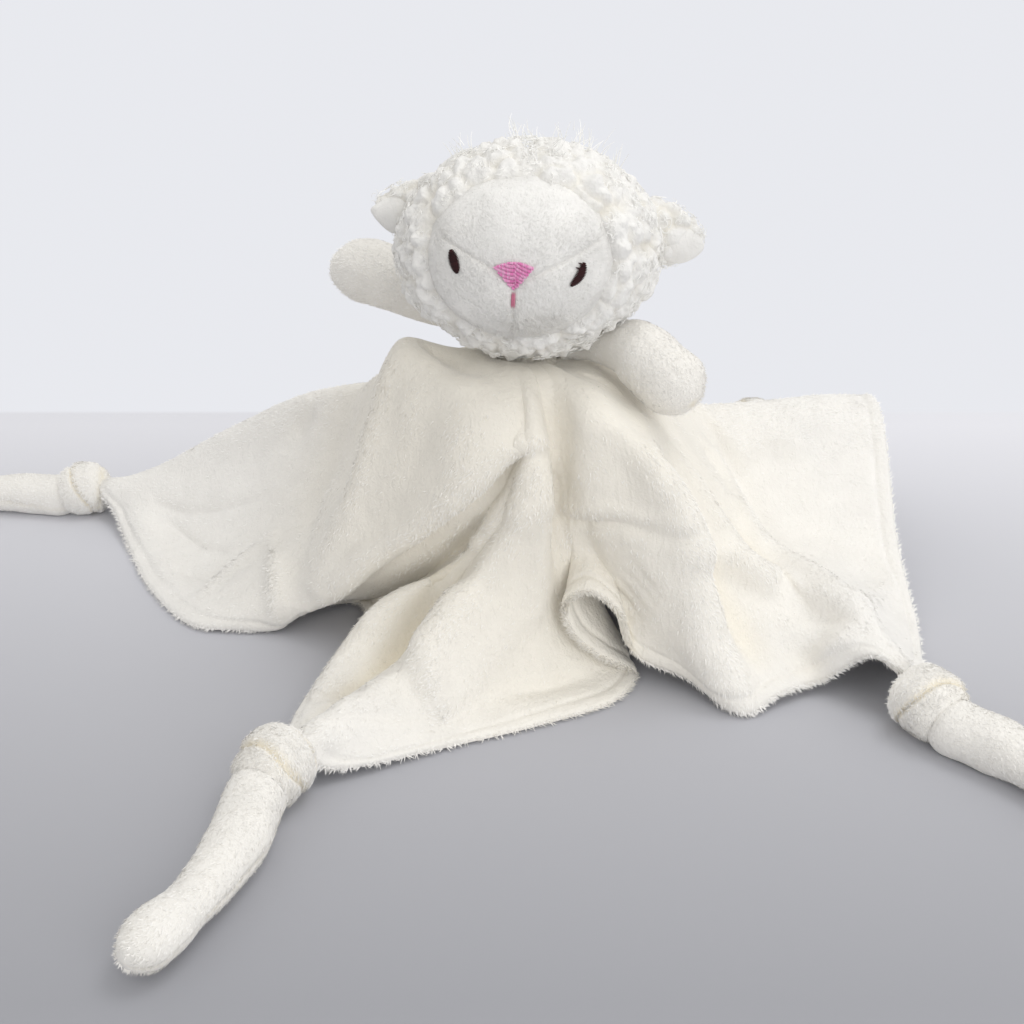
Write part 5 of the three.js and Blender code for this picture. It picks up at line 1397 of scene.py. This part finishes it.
# Neck: gathers under the head, and the stuffing that the head turns on
neck = {
    "radius": 13.6, "shoulder": 5.5, "halfHeight": 6.6, "bendHeight": 1.2, "pleats": 22,
    "pleatDepth": 0.3, "stuffingRadius": 4.9, "stuffingCenter": (0, -3, 107), "fill": 0.9,
    "lumps": ((0.15, 2, 17),), "steps": (24, 176),
}
rows, sides = neck["steps"]
height = np.linspace(-neck["halfHeight"], neck["halfHeight"], rows)[:, None]
turn = np.linspace(0, 2 * math.pi, sides, endpoint=False)[None, :]
width = np.interp(height, [-neck["halfHeight"], neck["bendHeight"], neck["halfHeight"]],
                  [neck["radius"], neck["radius"], neck["shoulder"]])
width = width + neck["pleatDepth"] * np.sin(neck["pleats"] * turn) - neck["pleatDepth"]
grid = np.stack([width * np.cos(turn), width * np.sin(turn), clothTop + height + 0 * turn], axis=2)
# painted shade over the gathers under the head
masks = {"toneAndShade": np.full(grid.shape[:2], 0.4)}
gathers = roundPiece("neckGathers", grid, (0, 0, clothTop), velour, masks)
fitPiece(gathers, "blanket", "velour", "neck_gather")
ballPoints = ballGrid(*neck["steps"])
grid = np.array(neck["stuffingCenter"]) + ballPoints * neck["stuffingRadius"]
grid = grid + ballPoints * lumps(grid, neck["lumps"])[..., None]
neckStuffing = roundPiece("neckStuffing", grid, neck["stuffingCenter"], stuffing)
fitPiece(neckStuffing, "neck", "stuffing", "neck_stuffing", fill=neck["fill"])

# Stage: one floor whose near part is darker, painted shade, and whose far part is paler, soft lamps,
# and the camera where the photograph's was
stage = {
    "floorSize": 24, "floorRoughness": 0.9,
    # the floor's near colour is darker as painted shade, fading to the far one
    "floor": (-0.2, 0.2),  # from the near colour to the far one
    "pale": (0.219, 0.225),  # where the floor turns into the pale part behind it
    "fade": (0.6, 1.3),  # how far out it fades into the same
    "nearShadeColor": (0.36, 0.365, 0.395, 1), "farColor": (0.79, 0.795, 0.845, 1),
    "paleColor": (0.81, 0.82, 0.86, 1), "wallColor": (0.815, 0.82, 0.855, 1),
    "worldColor": (1.0, 0.99, 0.975, 1), "worldStrength": 0.78,
    "lamps": {
        "key": {"place": (0.35, 0.1, 0.95), "size": 0.5, "power": 1.9},
        "front": {"place": (0.55, -0.9, 0.3), "size": 1.0, "power": 3.9},
    },
    "lampTarget": (0.05, 0.0, 0.06),
}
bpy.ops.mesh.primitive_plane_add(size=stage["floorSize"])
floor = bpy.context.object
floor.name = "floor"
floorMaterial = bpy.data.materials.new("floorPaper")
floorMaterial.use_nodes = True
tree = floorMaterial.node_tree
surface = tree.nodes["Principled BSDF"]
surface.inputs["Roughness"].default_value = stage["floorRoughness"]
output = tree.nodes["Material Output"]
place = addNode(tree, "ShaderNodeTexCoord")
split = addNode(tree, "ShaderNodeSeparateXYZ")
# painted shade: the floor darkens towards the camera
nearness = rangeNode(tree, stage["floor"])
shade = addNode(tree, "ShaderNodeMix", {"A": stage["nearShadeColor"], "B": stage["farColor"]},
                data_type="RGBA")
far = rangeNode(tree, stage["pale"], interpolation_type="SMOOTHSTEP")
reach = addNode(tree, "ShaderNodeVectorMath", operation="LENGTH")
fade = rangeNode(tree, stage["fade"], interpolation_type="SMOOTHSTEP")
paler = addNode(tree, "ShaderNodeMath", operation="MAXIMUM")
cameraRay = addNode(tree, "ShaderNodeLightPath")
both = addNode(tree, "ShaderNodeMath", operation="MULTIPLY")
glow = addNode(tree, "ShaderNodeEmission", {"Color": stage["paleColor"], "Strength": 1.0})
mixed = addNode(tree, "ShaderNodeMixShader")
wire(tree, (place, "Object", split, 0), (split, "Y", nearness, "Value"),
     (nearness, "Result", shade, "Factor"), (shade, "Result", surface, "Base Color"),
     (split, "Y", far, "Value"), (place, "Object", reach, 0), (reach, "Value", fade, "Value"),
     (far, "Result", paler, 0), (fade, "Result", paler, 1), (paler, 0, both, 0),
     (cameraRay, "Is Camera Ray", both, 1), (both, 0, mixed, 0), (surface, "BSDF", mixed, 1),
     (glow, 0, mixed, 2), (mixed, 0, output, "Surface"))
floor.data.materials.append(floorMaterial)
for lampName, settings in stage["lamps"].items():
    data = bpy.data.lights.new(lampName, "AREA")
    data.shape = "DISK"
    data.size = settings["size"]
    data.energy = settings["power"]
    lamp = bpy.data.objects.new(lampName, data)
    lamp.location = settings["place"]
    toward = Vector(stage["lampTarget"]) - Vector(settings["place"])
    lamp.rotation_euler = toward.to_track_quat("-Z", "Y").to_euler()
    bpy.context.scene.collection.objects.link(lamp)
world = bpy.data.worlds.new("studio")
world.use_nodes = True
tree = world.node_tree
sky = tree.nodes["Background"]
sky.inputs["Color"].default_value = stage["worldColor"]
sky.inputs["Strength"].default_value = stage["worldStrength"]
wall = addNode(tree, "ShaderNodeBackground", {"Color": stage["wallColor"], "Strength": 1.0})
seen = addNode(tree, "ShaderNodeLightPath")
either = addNode(tree, "ShaderNodeMixShader")
wire(tree, (seen, "Is Camera Ray", either, 0), (sky, 0, either, 1), (wall, 0, either, 2),
     (either, 0, tree.nodes["World Output"], "Surface"))
bpy.context.scene.world = world
bpy.context.scene.view_settings.view_transform = "Standard"
cameraData = bpy.data.cameras.new("camera")
cameraData.lens = view["lens"]
cameraData.sensor_width = view["sensorWidth"]
camera = bpy.data.objects.new("camera", cameraData)
camera.location = inMetres(view["place"])
camera.rotation_euler = (cameraPitch, 0, 0)
bpy.context.scene.collection.objects.link(camera)
bpy.context.scene.camera = camera
print("stage set")
